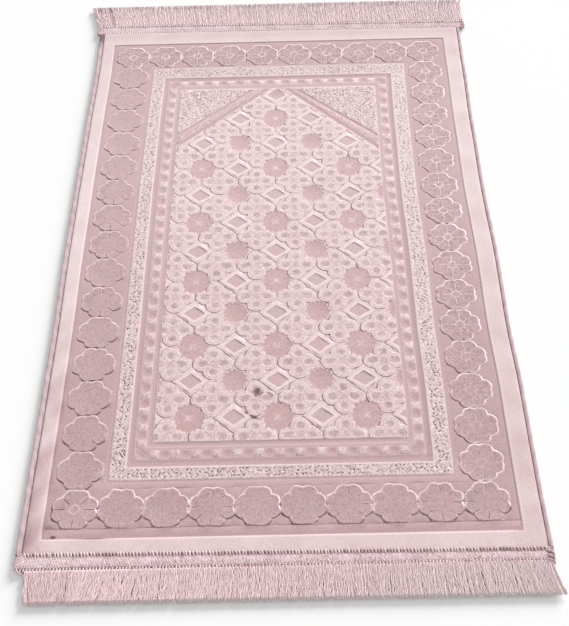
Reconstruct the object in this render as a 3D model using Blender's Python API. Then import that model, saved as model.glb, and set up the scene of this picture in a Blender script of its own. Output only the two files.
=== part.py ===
"""Prayer rug with carved pile, bound sides and a fringe at each end.

The rug lies flat on the floor, z = 0, with the arch's point towards +Y.
Every piece is worked out on a straight rug, in (u, v): u across, v along.
The function as_it_lies then moves each point to where the real rug lies,
because its sides bow a little and its header tapes are sewn on askew.
"""

import bpy
import bmesh
from math import cos, pi, sin, tau
from mathutils import Vector
from mathutils.geometry import delaunay_2d_cdt

# ---------------------------------------------------------------- sizes, in metres
LENGTH = 1.294              # tip of one fringe to the tip of the other
WIDTH = 0.700               # over both bound sides
FAR_SPREAD = 0.737          # the far fringe fans out wider than the rug
HALF_LENGTH = LENGTH / 2
HALF_WIDTH = WIDTH / 2

GAP = 0.0003                # between pieces that touch

FAR_FRINGE = 0.0660         # free length of the yarns past the header tape
NEAR_FRINGE = 0.0465
TAPE_WIDTH = 0.0240
FAR_TAPE_OUTER = HALF_LENGTH - FAR_FRINGE
FAR_TAPE_INNER = FAR_TAPE_OUTER - TAPE_WIDTH
NEAR_TAPE_OUTER = -HALF_LENGTH + NEAR_FRINGE
NEAR_TAPE_INNER = NEAR_TAPE_OUTER + TAPE_WIDTH

# heights above the floor
PALE_TOP = 0.0068           # the smooth outer border, the longest pile
BAND_TOP = 0.0060           # the flat velvet of the flower band and the fine lines
ROSETTE_TOP = 0.0066
SPECKLE_TOP = 0.0065
GUARD_TOP = 0.0065
FIELD_GROUND = 0.0060
FIELD_TOP = 0.0067          # quatrefoils and lozenge frames
LOZENGE_FLOOR = 0.0057
CARVED_SLOPE = 0.0013       # plan width of a carved step

# side binding, folded round a thin edge of the rug
BINDING_WIDTH = 0.0095
BINDING_HEIGHT = 0.0060
BINDING_WALL = 0.0013
BINDING_ROUND = (           # its outer edge, from the floor up, as shares of its height
    (0.20, 0.00),
    (0.05, 0.13),
    (0.00, 0.37),
    (0.00, 0.67),
    (0.07, 0.88),
    (0.24, 1.00),
)
SIDE_TONGUE_BOTTOM = BINDING_WALL + GAP
SIDE_TONGUE_TOP = BINDING_HEIGHT - BINDING_WALL - GAP

# header tape, laid over a thin end of the rug and down to the floor
END_TONGUE_TOP = 0.0030
TAPE_THICKNESS = 0.0020
TAPE_TOP = END_TONGUE_TOP + GAP + TAPE_THICKNESS
TAPE_LIP = 0.0030
TAPE_ROUND = 0.0009

# yarn locks of the fringes, each lying on the floor
LOCK_HEIGHT = 0.0019
LOCK_WIDTH = 0.0066
LOCKS_PER_END = 80
TIP_UNEVEN = 0.0012         # how much shorter the shortest locks are
LOCK_RHYTHM = 2.4           # turns the row of locks into an uneven one
LOCK_SWEEP = 1.4            # above 1, a lock bends more towards its tip
LOCK_TAPER = (              # share of the length, share of the width, share of the height
    (0.35, 1.00, 0.95),
    (0.75, 0.90, 0.85),
    (1.00, 0.44, 0.45),
)
TIP_WIDTH = LOCK_WIDTH * LOCK_TAPER[-1][1]
FAR_TAPE_ENDS = (-0.3590, 0.3620)
FAR_LOCK_ENDS = (-0.3560, 0.3590)
NEAR_TAPE_ENDS = (-0.3502, 0.3503)
NEAR_LOCK_ENDS = (-0.3350, 0.3465)

# nested rectangles of the design: middle across, half width, near edge, far edge
ZONES = {
    "flower band":  (-0.0016, 0.3166, -0.5549, 0.5177),
    "speckled":     (-0.0020, 0.2360, -0.4663, 0.4412),
    "outer line":   (-0.0034, 0.2114, -0.4447, 0.4120),
    "guard":        (-0.0034, 0.2029, -0.4335, 0.4016),
    "inner line":   (-0.0034, 0.1857, -0.4119, 0.3828),
    "field":        (-0.0027, 0.1792, -0.4042, 0.3756),
}

# border rosettes, ten across and seventeen along
ROSETTES_ACROSS = 10
ROSETTES_ALONG = 17
ROSETTE_MIDDLE = (-0.0027, -0.0159)
ROSETTE_PITCH = (0.0614, 0.06175)
ROSETTE_RADIUS = 0.0300
ROSETTE_PETALS = 8
NOTCH_RADIUS = 0.0262       # where two petals meet

# lattice of the field: stars, lozenges and quatrefoils
LATTICE_MIDDLE = -0.0062
LATTICE_TOP_ROW = 0.2897
LATTICE_PITCH = (0.0634, 0.0654)
LATTICE_COLUMNS = 5
LATTICE_ROWS = 11
LOZENGE_FRAME = (0.0262, 0.0258)
LOZENGE_HOLE = (0.0132, 0.0109)
RING_OFFSET = 0.0163        # from a quatrefoil's middle to each of its four rings
RING_RADIUS = 0.0133
SMALLEST_MOTIF = 0.0002     # square metres; smaller cut-off pieces are left out

# the arch: where each diagonal leaves the field's top edge, and its slope
ARCH_SLOPE = 0.98
ARCH_OUTER = (-0.0500, 0.0310)
ARCH_INNER = (-0.0158, 0.0069)

# how far the real side edges lie from straight ones: v, left shift, right shift
SIDE_BOW = (
    (0.645, 0.0000, 0.0000),
    (0.560, 0.0040, 0.0050),
    (0.440, 0.0050, 0.0025),
    (0.260, 0.0025, -0.0010),
    (0.100, 0.0010, -0.0025),
    (-0.060, 0.0000, 0.0000),
    (-0.200, 0.0010, -0.0015),
    (-0.320, 0.0000, 0.0012),
    (-0.480, -0.0015, 0.0010),
    (-0.560, -0.0020, 0.0010),
    (-0.645, -0.0020, 0.0010),
)
CORNER_FLARE = 0.0012       # the near right corner is pulled outwards
CORNER_FLARE_FROM = (0.300, 0.490)
NEAR_TAPE_SKEW = 0.0040     # the near tape's inner edge runs lower on the right
NEAR_SKEW_END = 0.6150      # where the yarns have made up for it
FAR_TAPE_SKEW = 0.0025      # so does the far tape

# how far the yarns' tips lie to the right of their roots: place across, shift
FAR_LEAN = (
    (-0.360, -0.012),
    (-0.310, -0.010),
    (-0.250, -0.004),
    (0.000, 0.000),
    (0.250, 0.003),
    (0.360, 0.009),
)
NEAR_LEAN = (
    (-0.340, 0.005),
    (-0.300, -0.004),
    (-0.220, -0.009),
    (-0.100, -0.003),
    (0.120, 0.002),
    (0.260, 0.004),
    (0.320, 0.010),
    (0.350, 0.012),
)

SIDE_STATIONS = 13
END_STATIONS = 5


def blend(edge0, edge1, x):
    """Smooth step from 0 at edge0 to 1 at edge1."""
    t = min(max((x - edge0) / (edge1 - edge0), 0.0), 1.0)
    return t * t * (3.0 - 2.0 * t)


def read_table(rows, key, column):
    """Value of a column at key, smoothed between the rows of a table."""
    ordered = sorted(rows)
    if key <= ordered[0][0]:
        return ordered[0][column]
    for low, high in zip(ordered, ordered[1:]):
        if key <= high[0]:
            t = blend(low[0], high[0], key)
            return low[column] * (1.0 - t) + high[column] * t
    return ordered[-1][column]


def as_it_lies(u, v, z):
    """Move a point of the straight rug to where the real one lies."""
    left = read_table(SIDE_BOW, v, 1)
    right = read_table(SIDE_BOW, v, 2)
    share = min(max((u + HALF_WIDTH) / WIDTH, 0.0), 1.0)
    flare = CORNER_FLARE * blend(CORNER_FLARE_FROM[0], HALF_WIDTH, u)
    flare *= blend(CORNER_FLARE_FROM[1], -NEAR_TAPE_INNER, -v) * blend(HALF_LENGTH, -NEAR_TAPE_OUTER, -v)
    _, _, band_near, band_far = ZONES["flower band"]
    near = blend(-band_near, -NEAR_TAPE_INNER, -v) * blend(NEAR_SKEW_END, -NEAR_TAPE_INNER, -v)
    far = blend(band_far, FAR_TAPE_INNER, v) * blend(HALF_LENGTH, FAR_TAPE_INNER, v)
    skew = min(max(u / HALF_WIDTH, -1.0), 1.0) * (NEAR_TAPE_SKEW * near + FAR_TAPE_SKEW * far)
    return Vector((u + left * (1.0 - share) + right * share + flare, v - skew, z))


def spread(start, stop, count):
    """Evenly spaced values, both ends included."""
    return [start + (stop - start) * i / (count - 1) for i in range(count)]


# ---------------------------------------------------------------- carved faces
class CarvedFace:
    """Closed loops and open lines at their own heights, joined into one triangulated face."""

    def __init__(self):
        self.points = []
        self.edges = []
        self.index = {}

    def point(self, u, v, z):
        key = (round(u * 1e6), round(v * 1e6))
        if key not in self.index:
            self.index[key] = len(self.points)
            self.points.append((u, v, z))
        return self.index[key]

    def line(self, points):
        found = [self.point(*p) for p in points]
        self.edges += list(zip(found, found[1:]))

    def loop(self, points):
        self.line(list(points) + [points[0]])

    def build(self, bm, upwards):
        """Fill the face into a bmesh; return its vertices by (u, v) key."""
        flat = [Vector((u, v)) for u, v, _ in self.points]
        found, _, faces, origin, _, _ = delaunay_2d_cdt(flat, self.edges, [], 0, 1e-7)
        made = {}
        verts = []
        for place, sources in zip(found, origin):
            u, v, z = self.points[sources[0]]
            vert = bm.verts.new(as_it_lies(u, v, z))
            verts.append(vert)
            made[(round(u * 1e6), round(v * 1e6))] = vert
        for face in faces:
            corners = [verts[i] for i in face]
            a, b, c = (found[i] for i in face[:3])
            turns_left = (b - a).cross(c - a) > 0
            bm.faces.new(corners if turns_left == upwards else corners[::-1])
        return made


def side_values(near, far):
    """Evenly spaced stations along a side."""
    return spread(near, far, SIDE_STATIONS)


def rectangle(middle, half, near, far, z):
    """A rectangle's loop, counter-clockwise, with stations on every side."""
    left, right = middle - half, middle + half
    along = side_values(near, far)
    across = spread(left, right, END_STATIONS)
    points = [(u, near, z) for u in across[:-1]]
    points += [(right, v, z) for v in along[:-1]]
    points += [(u, far, z) for u in across[:0:-1]]
    points += [(left, v, z) for v in along[:0:-1]]
    return points


def step(face, zone, outside_z, inside_z):
    """A carved step along a zone's outline: the high and the low edge."""
    middle, half, near, far = ZONES[zone]
    s = CARVED_SLOPE / 2
    face.loop(rectangle(middle, half + s, near - s, far + s, outside_z))
    face.loop(rectangle(middle, half - s, near + s, far - s, inside_z))


def rosette(centre, grow, z):
    """A flower outline of petals: a notch, then two points round each petal's end."""
    loop = []
    for i in range(ROSETTE_PETALS):
        start = tau * i / ROSETTE_PETALS
        for share, radius in ((0.0, NOTCH_RADIUS), (0.28, ROSETTE_RADIUS), (0.72, ROSETTE_RADIUS)):
            turn = start + share * tau / ROSETTE_PETALS
            r = radius + grow
            loop.append((centre[0] + r * cos(turn), centre[1] + r * sin(turn), z))
    return loop


def quatrefoil(centre, grow, z):
    """The outline of four touching rings, with a notch between each two."""
    r = RING_RADIUS + grow
    across = RING_OFFSET * cos(pi / 4)
    notch = across + (r * r - across * across) ** 0.5
    loop = []
    for i in range(4):
        turn = i * pi / 2
        for swing in (-1.05, 0.0, 1.05):
            away = RING_OFFSET + r * cos(swing)
            aside = r * sin(swing)
            loop.append((centre[0] + away * cos(turn) - aside * sin(turn),
                         centre[1] + away * sin(turn) + aside * cos(turn), z))
        loop.append((centre[0] + notch * cos(turn + pi / 4), centre[1] + notch * sin(turn + pi / 4), z))
    return loop


def lozenge(centre, half_u, half_v, z):
    cu, cv = centre
    return [(cu + half_u, cv, z), (cu, cv + half_v, z), (cu - half_u, cv, z), (cu, cv - half_v, z)]


def rosette_places():
    """Centres of the border rosettes, each once."""
    cu, cv = ROSETTE_MIDDLE
    us = [cu + (i - (ROSETTES_ACROSS - 1) / 2) * ROSETTE_PITCH[0] for i in range(ROSETTES_ACROSS)]
    vs = [cv + (j - (ROSETTES_ALONG - 1) / 2) * ROSETTE_PITCH[1] for j in range(ROSETTES_ALONG)]
    places = [(u, v) for v in (vs[0], vs[-1]) for u in us]
    places += [(u, v) for u in (us[0], us[-1]) for v in vs[1:-1]]
    return places


def under_arch(inset):
    """The field under the arch as a convex outline, drawn in by inset."""
    middle, half, near, far = ZONES["field"]
    left, right = middle - half + inset, middle + half - inset
    slant = inset * (1.0 + ARCH_SLOPE ** 2) ** 0.5
    tips = (ARCH_INNER[0], ARCH_INNER[1])
    left_shoulder = far - slant - (tips[0] - left) * ARCH_SLOPE
    right_shoulder = far - slant - (right - tips[1]) * ARCH_SLOPE
    lowered = far - inset - (far - slant)
    top_left = (tips[0] - lowered / ARCH_SLOPE, far - inset)
    top_right = (tips[1] + lowered / ARCH_SLOPE, far - inset)
    near += inset
    return [(left, near), (right, near), (right, right_shoulder), top_right, top_left, (left, left_shoulder)]


def clipped(loop, region):
    """The part of a loop that lies inside a convex, counter-clockwise region."""
    for (au, av), (bu, bv) in zip(region, region[1:] + region[:1]):
        def side(point):
            return (bu - au) * (point[1] - av) - (bv - av) * (point[0] - au)
        kept = []
        for here, there in zip(loop, loop[1:] + loop[:1]):
            s0, s1 = side(here), side(there)
            if s0 >= 0.0:
                kept.append(here)
            if s0 * s1 < 0.0:
                t = s0 / (s0 - s1)
                kept.append(tuple(a + (b - a) * t for a, b in zip(here, there)))
        loop = kept
        if not loop:
            break
    return loop


def area(loop):
    """Plan area of a counter-clockwise loop."""
    return sum(a[0] * b[1] - a[1] * b[0] for a, b in zip(loop, loop[1:] + loop[:1])) / 2


def carve_spandrels(face):
    """The raised ground in the two corners above the arch."""
    middle, half, near, far = ZONES["field"]
    for sign, start in ((-1, ARCH_OUTER[0]), (1, ARCH_OUTER[1])):
        for inset, z in ((CARVED_SLOPE, FIELD_GROUND), (CARVED_SLOPE * 2, SPECKLE_TOP)):
            side = middle + sign * (half - inset)
            top = far - inset
            slant = inset * (1.0 + ARCH_SLOPE ** 2) ** 0.5 + inset
            corner = start + sign * slant / ARCH_SLOPE
            foot = top - abs(side - corner) * ARCH_SLOPE
            face.loop([(corner, top, z), (side, top, z), (side, foot, z)])


def carve_motif(face, steps):
    """Carve nested outlines, each kept clear of the arch and the field's edges."""
    loops = [clipped(loop, under_arch((order + 1) * CARVED_SLOPE)) for order, loop in enumerate(steps)]
    if all(len(loop) > 2 and area(loop) > SMALLEST_MOTIF for loop in loops):
        for loop in loops:
            face.loop(loop)


def carve_field(face):
    """Lozenges in raised frames and quatrefoils, set out on the lattice."""
    pu, pv = LATTICE_PITCH
    s = CARVED_SLOPE / 2
    for row in range(LATTICE_ROWS):
        v = LATTICE_TOP_ROW - row * pv
        for column in range(LATTICE_COLUMNS):
            u = LATTICE_MIDDLE + (column - (LATTICE_COLUMNS - 1) / 2) * pu
            if (row + column) % 2 == 1:
                steps = (
                    lozenge((u, v), LOZENGE_FRAME[0] + s, LOZENGE_FRAME[1] + s, FIELD_GROUND),
                    lozenge((u, v), LOZENGE_FRAME[0] - s, LOZENGE_FRAME[1] - s, FIELD_TOP),
                    lozenge((u, v), LOZENGE_HOLE[0] + s, LOZENGE_HOLE[1] + s, FIELD_TOP),
                    lozenge((u, v), LOZENGE_HOLE[0] - s, LOZENGE_HOLE[1] - s, LOZENGE_FLOOR),
                )
                carve_motif(face, steps)
    for row in range(-2, LATTICE_ROWS):
        v = LATTICE_TOP_ROW - (row + 0.5) * pv
        for column in range(-1, LATTICE_COLUMNS):
            u = LATTICE_MIDDLE + (column + 0.5 - (LATTICE_COLUMNS - 1) / 2) * pu
            steps = (quatrefoil((u, v), s, FIELD_GROUND), quatrefoil((u, v), -s, FIELD_TOP))
            carve_motif(face, steps)


# ---------------------------------------------------------------- the rug's body
BODY_HALF = HALF_WIDTH - BINDING_WALL - GAP
NEAR_TONGUE_END = NEAR_TAPE_OUTER + TAPE_LIP + GAP
FAR_TONGUE_END = FAR_TAPE_OUTER - TAPE_LIP - GAP
TONGUE_RAMP = 0.0020
PILE_HALF = HALF_WIDTH - BINDING_WIDTH - GAP
PILE_SHOULDER = (           # how far in from the pile's wall, how far below its top
    (0.0004, 0.0010),
    (0.0018, 0.0000),
)


def body_outline(heights):
    """The rug's cut edge, counter-clockwise; heights gives z from v."""
    along = [NEAR_TONGUE_END, NEAR_TAPE_INNER - TONGUE_RAMP]
    along += side_values(NEAR_TAPE_INNER, FAR_TAPE_INNER)
    along.insert(3, NEAR_TAPE_INNER + TONGUE_RAMP)
    along.insert(-1, FAR_TAPE_INNER - TONGUE_RAMP)
    along += [FAR_TAPE_INNER + TONGUE_RAMP, FAR_TONGUE_END]
    across = spread(-BODY_HALF, BODY_HALF, END_STATIONS)
    points = [(u, along[0], heights(along[0])) for u in across[:-1]]
    points += [(BODY_HALF, v, heights(v)) for v in along[:-1]]
    points += [(u, along[-1], heights(along[-1])) for u in across[:0:-1]]
    points += [(-BODY_HALF, v, heights(v)) for v in along[:0:-1]]
    return points


def tongue_top(v):
    inside = NEAR_TAPE_INNER + TONGUE_RAMP / 2 < v < FAR_TAPE_INNER - TONGUE_RAMP / 2
    return SIDE_TONGUE_TOP if inside else END_TONGUE_TOP


def tongue_bottom(v):
    inside = NEAR_TAPE_INNER - TONGUE_RAMP / 2 < v < FAR_TAPE_INNER + TONGUE_RAMP / 2
    return SIDE_TONGUE_BOTTOM if inside else 0.0


def pile_edge(face):
    """The pile's wall and rounded shoulder beside the bindings and tapes."""
    half = PILE_HALF
    near, far = NEAR_TAPE_INNER + GAP, FAR_TAPE_INNER - GAP
    foot = rectangle(0.0, half, near, far, END_TONGUE_TOP)
    face.loop([(u, v, SIDE_TONGUE_TOP if near < v < far else z) for u, v, z in foot])
    for inset, drop in PILE_SHOULDER:
        face.loop(rectangle(0.0, half - inset, near + inset, far - inset, PALE_TOP - drop))


def build_body():
    """One closed solid: carved top, cut edge all round, flat underside."""
    bm = bmesh.new()
    top = CarvedFace()
    top.loop(body_outline(tongue_top))
    pile_edge(top)
    step(top, "flower band", PALE_TOP, BAND_TOP)
    step(top, "speckled", BAND_TOP, SPECKLE_TOP)
    step(top, "outer line", SPECKLE_TOP, BAND_TOP)
    step(top, "guard", BAND_TOP, GUARD_TOP)
    step(top, "inner line", GUARD_TOP, BAND_TOP)
    for place in rosette_places():
        s = CARVED_SLOPE / 2
        top.loop(rosette(place, s, BAND_TOP))
        top.loop(rosette(place, -s, ROSETTE_TOP))
    carve_spandrels(top)
    carve_field(top)

    bottom = CarvedFace()
    bottom.loop(body_outline(tongue_bottom))
    for sign in (-1, 1):
        edge = sign * BODY_HALF
        near, far = NEAR_TAPE_INNER, FAR_TAPE_INNER
        along = side_values(near, far)
        shelf = [(edge, near, SIDE_TONGUE_BOTTOM)]
        shelf += [(sign * PILE_HALF, v, SIDE_TONGUE_BOTTOM) for v in along]
        shelf += [(edge, far, SIDE_TONGUE_BOTTOM)]
        bottom.line(shelf)
        near, far = near - TONGUE_RAMP, far + TONGUE_RAMP
        along = [near] + along[1:-1] + [far]
        foot = [(edge, near, 0.0)]
        foot += [(sign * (PILE_HALF - TONGUE_RAMP / 2), v, 0.0) for v in along]
        foot += [(edge, far, 0.0)]
        bottom.line(foot)

    top_verts = top.build(bm, upwards=True)
    bottom_verts = bottom.build(bm, upwards=False)
    rim = [(round(u * 1e6), round(v * 1e6)) for u, v, _ in body_outline(tongue_top)]
    for here, there in zip(rim, rim[1:] + rim[:1]):
        bm.faces.new((bottom_verts[here], bottom_verts[there], top_verts[there], top_verts[here]))
    return bm


# ---------------------------------------------------------------- bindings
def build_binding(sign):
    """A strip folded round the side tongue: a C in section, swept along the rug."""
    h, t, w = BINDING_HEIGHT, BINDING_WALL, BINDING_WIDTH
    outer_round = [(h * away, h * up) for away, up in BINDING_ROUND]
    section = [(w, 0.0)] + outer_round + [(w, h), (w, h - t), (t, h - t), (t, t), (w, t)]
    bm = bmesh.new()
    rings = []
    for v in side_values(NEAR_TAPE_INNER + GAP, FAR_TAPE_INNER - GAP):
        ring = [bm.verts.new(as_it_lies(sign * (HALF_WIDTH - d), v, z)) for d, z in section]
        rings.append(ring)
    for ring, following in zip(rings, rings[1:]):
        for i in range(len(section)):
            j = (i + 1) % len(section)
            bm.faces.new((ring[i], ring[j], following[j], following[i]))
    bm.faces.new(rings[0][::-1])
    bm.faces.new(rings[-1])
    return bm


# ---------------------------------------------------------------- header tapes and fringes
def zip_strip(bm, chain_a, chain_b):
    """Fill between two rows of vertices that may differ in number."""
    i = j = 0
    while i < len(chain_a) - 1 or j < len(chain_b) - 1:
        step_a = j == len(chain_b) - 1
        if not step_a and i < len(chain_a) - 1:
            step_a = chain_a[i + 1].co.x < chain_b[j + 1].co.x
        if step_a:
            bm.faces.new((chain_a[i], chain_a[i + 1], chain_b[j]))
            i += 1
        else:
            bm.faces.new((chain_a[i], chain_b[j + 1], chain_b[j]))
            j += 1


def grow_lock(bm, root, start, tip):
    """One four-sided lock of yarn, from its root face to its tip, level on the floor."""
    for share, width, height in LOCK_TAPER:
        u = start[0] + (tip[0] - start[0]) * share ** LOCK_SWEEP
        v = start[1] + (tip[1] - start[1]) * share
        half = LOCK_WIDTH * width / 2
        top = LOCK_HEIGHT * height
        corners = ((u - half, 0.0), (u + half, 0.0), (u + half, top), (u - half, top))
        ring = [bm.verts.new(as_it_lies(across, v, z)) for across, z in corners]
        for a in range(4):
            b = (a + 1) % 4
            bm.faces.new((root[a], root[b], ring[b], ring[a]))
        root = ring
    bm.faces.new(root)


def build_fringe(outer_v, inner_v, tip_v, tape_ends, lock_ends, lean, tips_span=None):
    """A header tape with a row of yarn locks growing out of its outer face."""
    out = 1.0 if tip_v > 0 else -1.0
    bm = bmesh.new()

    coarse = spread(tape_ends[0], tape_ends[1], SIDE_STATIONS)
    pitch = (lock_ends[1] - lock_ends[0] - LOCK_WIDTH) / (LOCKS_PER_END - 1)
    lefts = [lock_ends[0] + i * pitch for i in range(LOCKS_PER_END)]
    fine = sorted([tape_ends[0], tape_ends[1]] + lefts + [u + LOCK_WIDTH for u in lefts])

    def chain(stations, v, z):
        return [bm.verts.new(as_it_lies(u, v, z)) for u in stations]

    lip_v = outer_v - out * TAPE_LIP
    under = TAPE_TOP - TAPE_THICKNESS
    chains = [
        chain(fine, outer_v, 0.0),
        chain(fine, outer_v, LOCK_HEIGHT),
        chain(coarse, outer_v, TAPE_TOP - TAPE_ROUND),
        chain(coarse, outer_v - out * TAPE_ROUND, TAPE_TOP),
        chain(coarse, inner_v + out * TAPE_ROUND, TAPE_TOP),
        chain(coarse, inner_v, TAPE_TOP - TAPE_ROUND),
        chain(coarse, inner_v, under),
        chain(coarse, lip_v, under),
        chain(coarse, lip_v, 0.0),
    ]
    for low, high in zip(chains[1:], chains[2:] + chains[:1]):
        zip_strip(bm, low, high)
    bm.faces.new([c[0] for c in chains])
    bm.faces.new([c[-1] for c in chains])

    for i in range(len(fine) - 1):
        root = [chains[0][i], chains[0][i + 1], chains[1][i + 1], chains[1][i]]
        if fine[i] not in lefts:
            bm.faces.new(root)
            continue
        number = lefts.index(fine[i])
        middle = fine[i] + LOCK_WIDTH / 2
        tip_u = middle + read_table(lean, middle, 1)
        if tips_span and number in (0, LOCKS_PER_END - 1):
            side = -1 if number == 0 else 1
            tip_u = side * (tips_span - TIP_WIDTH) / 2
        end_v = tip_v - out * TIP_UNEVEN * (0.5 - 0.5 * cos(number * LOCK_RHYTHM))
        grow_lock(bm, root, (middle, outer_v), (tip_u, end_v))
    return bm


# ---------------------------------------------------------------- objects and materials
def make_material(name, colour, roughness):
    """A cloth material: sRGB colour as seen on the rug, turned to linear."""
    linear = [c / 12.92 if c <= 0.04045 else ((c + 0.055) / 1.055) ** 2.4 for c in colour]
    material = bpy.data.materials.new(name)
    material.use_nodes = True
    shader = material.node_tree.nodes["Principled BSDF"]
    shader.inputs["Base Color"].default_value = (*linear, 1.0)
    shader.inputs["Roughness"].default_value = roughness
    shader.inputs["Metallic"].default_value = 0.0
    return material


def make_object(name, bm, material):
    """Turn a closed bmesh into an object whose faces point outwards."""
    bmesh.ops.recalc_face_normals(bm, faces=bm.faces)
    mesh = bpy.data.meshes.new(name)
    bm.to_mesh(mesh)
    bm.free()
    mesh.materials.append(material)
    part = bpy.data.objects.new(name, mesh)
    bpy.context.scene.collection.objects.link(part)
    return part


def main():
    for leftover in list(bpy.data.objects):
        bpy.data.objects.remove(leftover, do_unlink=True)

    velvet = make_material("rose velvet pile", (0.83, 0.73, 0.73), 0.85)
    binding_yarn = make_material("binding yarn", (0.80, 0.71, 0.72), 0.75)
    fringe_yarn = make_material("fringe yarn", (0.85, 0.76, 0.76), 0.65)

    make_object("rug_pile", build_body(), velvet)
    make_object("binding_left", build_binding(-1), binding_yarn)
    make_object("binding_right", build_binding(1), binding_yarn)
    far = build_fringe(
        FAR_TAPE_OUTER, FAR_TAPE_INNER, HALF_LENGTH, FAR_TAPE_ENDS, FAR_LOCK_ENDS, FAR_LEAN, FAR_SPREAD
    )
    make_object("fringe_far", far, fringe_yarn)
    near = build_fringe(
        NEAR_TAPE_OUTER, NEAR_TAPE_INNER, -HALF_LENGTH, NEAR_TAPE_ENDS, NEAR_LOCK_ENDS, NEAR_LEAN
    )
    make_object("fringe_near", near, fringe_yarn)


main()
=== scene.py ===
# %% [markdown]
# # A carved velvet prayer rug
# The rug lies flat on a pale floor, with the arch's point away from us. It is a velvet panel with
# a carved pattern, bound along both sides, with a sewn-on header tape and a fringe at each end.
# The packed CAD model gives the frame: its solids hold the place and the size of every piece.
# This lesson dresses each solid with a finer mesh and a material of its own.

import math
from types import SimpleNamespace

import bpy
import numpy as np
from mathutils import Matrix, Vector
from mathutils.geometry import delaunay_2d_cdt


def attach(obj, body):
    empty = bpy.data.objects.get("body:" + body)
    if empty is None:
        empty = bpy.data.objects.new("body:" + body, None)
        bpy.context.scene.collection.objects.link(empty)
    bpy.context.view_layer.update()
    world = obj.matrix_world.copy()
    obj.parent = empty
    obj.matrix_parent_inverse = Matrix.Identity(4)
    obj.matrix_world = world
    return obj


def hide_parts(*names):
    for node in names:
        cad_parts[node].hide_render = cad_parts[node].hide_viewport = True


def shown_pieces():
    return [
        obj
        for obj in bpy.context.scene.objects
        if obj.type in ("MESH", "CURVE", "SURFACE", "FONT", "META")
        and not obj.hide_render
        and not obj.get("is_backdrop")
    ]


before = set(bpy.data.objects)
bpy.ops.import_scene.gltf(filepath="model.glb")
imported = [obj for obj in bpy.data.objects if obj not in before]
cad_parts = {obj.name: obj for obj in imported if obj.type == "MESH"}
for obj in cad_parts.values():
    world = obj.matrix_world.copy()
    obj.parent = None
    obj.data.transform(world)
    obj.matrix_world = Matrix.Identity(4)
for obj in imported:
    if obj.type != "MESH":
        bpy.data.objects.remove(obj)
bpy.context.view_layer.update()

# %% [markdown]
# ## Camera
# The photograph was taken from above the near end, a little right of the middle. The place, the
# turn and the lens were worked out from the straight edges of the flower band, so the same
# numbers put the picture's frame where it was. The picture is 569 by 626.

# %% Camera
camera_data = bpy.data.cameras.new("camera")
camera_data.sensor_fit = "HORIZONTAL"
camera_data.sensor_width = 36.0
camera_data.lens = 71.973
camera_data.clip_start, camera_data.clip_end = 0.05, 60.0
camera = bpy.data.objects.new("camera", camera_data)
camera.location = (0.01981, -1.30536, 1.33578)
camera.rotation_euler = (0.706370, 0.020050, -0.011410)
bpy.context.scene.collection.objects.link(camera)
bpy.context.scene.camera = camera
print("camera is", round(camera.location.length, 2), "m from the rug's middle")

# %% [markdown]
# ## Floor and light
# A studio sweep: white floor, white surroundings and one big soft light from the far right.
# The soft light is low enough to rake across the pile, so the carving shows, and the shadow at
# the near and the left edge stays short and soft.


# %% Floor, surroundings and light
def shader_of(material):
    return next(n for n in material.node_tree.nodes if n.type == "BSDF_PRINCIPLED")


def plain_floor():
    mesh = bpy.data.meshes.new("floor")
    reach = 14.0
    corners = [(-reach, -reach, 0), (reach, -reach, 0), (reach, reach, 0), (-reach, reach, 0)]
    mesh.from_pydata(corners, [], [(0, 1, 2, 3)])
    material = bpy.data.materials.new("floor white")
    material.use_nodes = True
    shader_of(material).inputs["Base Color"].default_value = (0.96, 0.96, 0.96, 1.0)
    shader_of(material).inputs["Roughness"].default_value = 0.9
    shader_of(material).inputs["Specular IOR Level"].default_value = 0.1
    mesh.materials.append(material)
    floor = bpy.data.objects.new("floor", mesh)
    floor.location.z = -0.0002
    bpy.context.scene.collection.objects.link(floor)
    floor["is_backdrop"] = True


plain_floor()
world = bpy.data.worlds.new("studio")
world.use_nodes = True
world.node_tree.nodes["Background"].inputs["Color"].default_value = (1.0, 0.995, 0.99, 1.0)
world.node_tree.nodes["Background"].inputs["Strength"].default_value = 0.635
bpy.context.scene.world = world
bpy.context.scene.view_settings.view_transform = "Standard"

softbox_data = bpy.data.lights.new("softbox", "SUN")
softbox_data.energy = 4.5
softbox_data.angle = math.radians(22)
softbox = bpy.data.objects.new("softbox", softbox_data)
softbox.rotation_euler = Vector((0.62, 1.0, 0.337)).to_track_quat("Z", "Y").to_euler()
bpy.context.scene.collection.objects.link(softbox)
print("the soft light is as strong as", round(softbox_data.energy, 1), "watts a square metre")

# %% [markdown]
# ## The rug's sizes
# Everything is worked out on a straight rug, u across and v along, as a pattern maker would draw
# it. Nearly all the numbers are the ones the solids were made with, so each finer piece lands on
# its solid. The tapes' inner edges follow the photo 2 to 3 mm closer than the solids do.

# %% Sizes in metres
HALF_LENGTH, HALF_WIDTH = 0.647, 0.350
GAP = 0.0003
FAR_TAPE_OUTER, FAR_TAPE_INNER = 0.5810, 0.5550
NEAR_TAPE_OUTER, NEAR_TAPE_INNER = -0.6005, -0.5790
PILE_LEFT, PILE_RIGHT = -0.3402, 0.3430
ZONES = {                   # middle across, half width, near edge, far edge
    "flower band": (-0.0016, 0.3166, -0.5549, 0.5177),
    "speckled": (-0.0020, 0.2360, -0.4663, 0.4412),
    "outer line": (-0.0034, 0.2114, -0.4447, 0.4120),
    "guard": (-0.0034, 0.2029, -0.4335, 0.4016),
    "inner line": (-0.0034, 0.1857, -0.4119, 0.3828),
    "field": (-0.0027, 0.1792, -0.4042, 0.3756),
}
FLOWERS = (10, 17)          # across and along; only the outermost are woven
FLOWER_MIDDLE = (-0.0027, -0.0159)
FLOWER_PITCH = (0.0614, 0.06175)
LATTICE_MIDDLE, LATTICE_TOP_ROW = -0.0062, 0.2897
LATTICE_PITCH = (0.0634, 0.0654)
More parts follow.
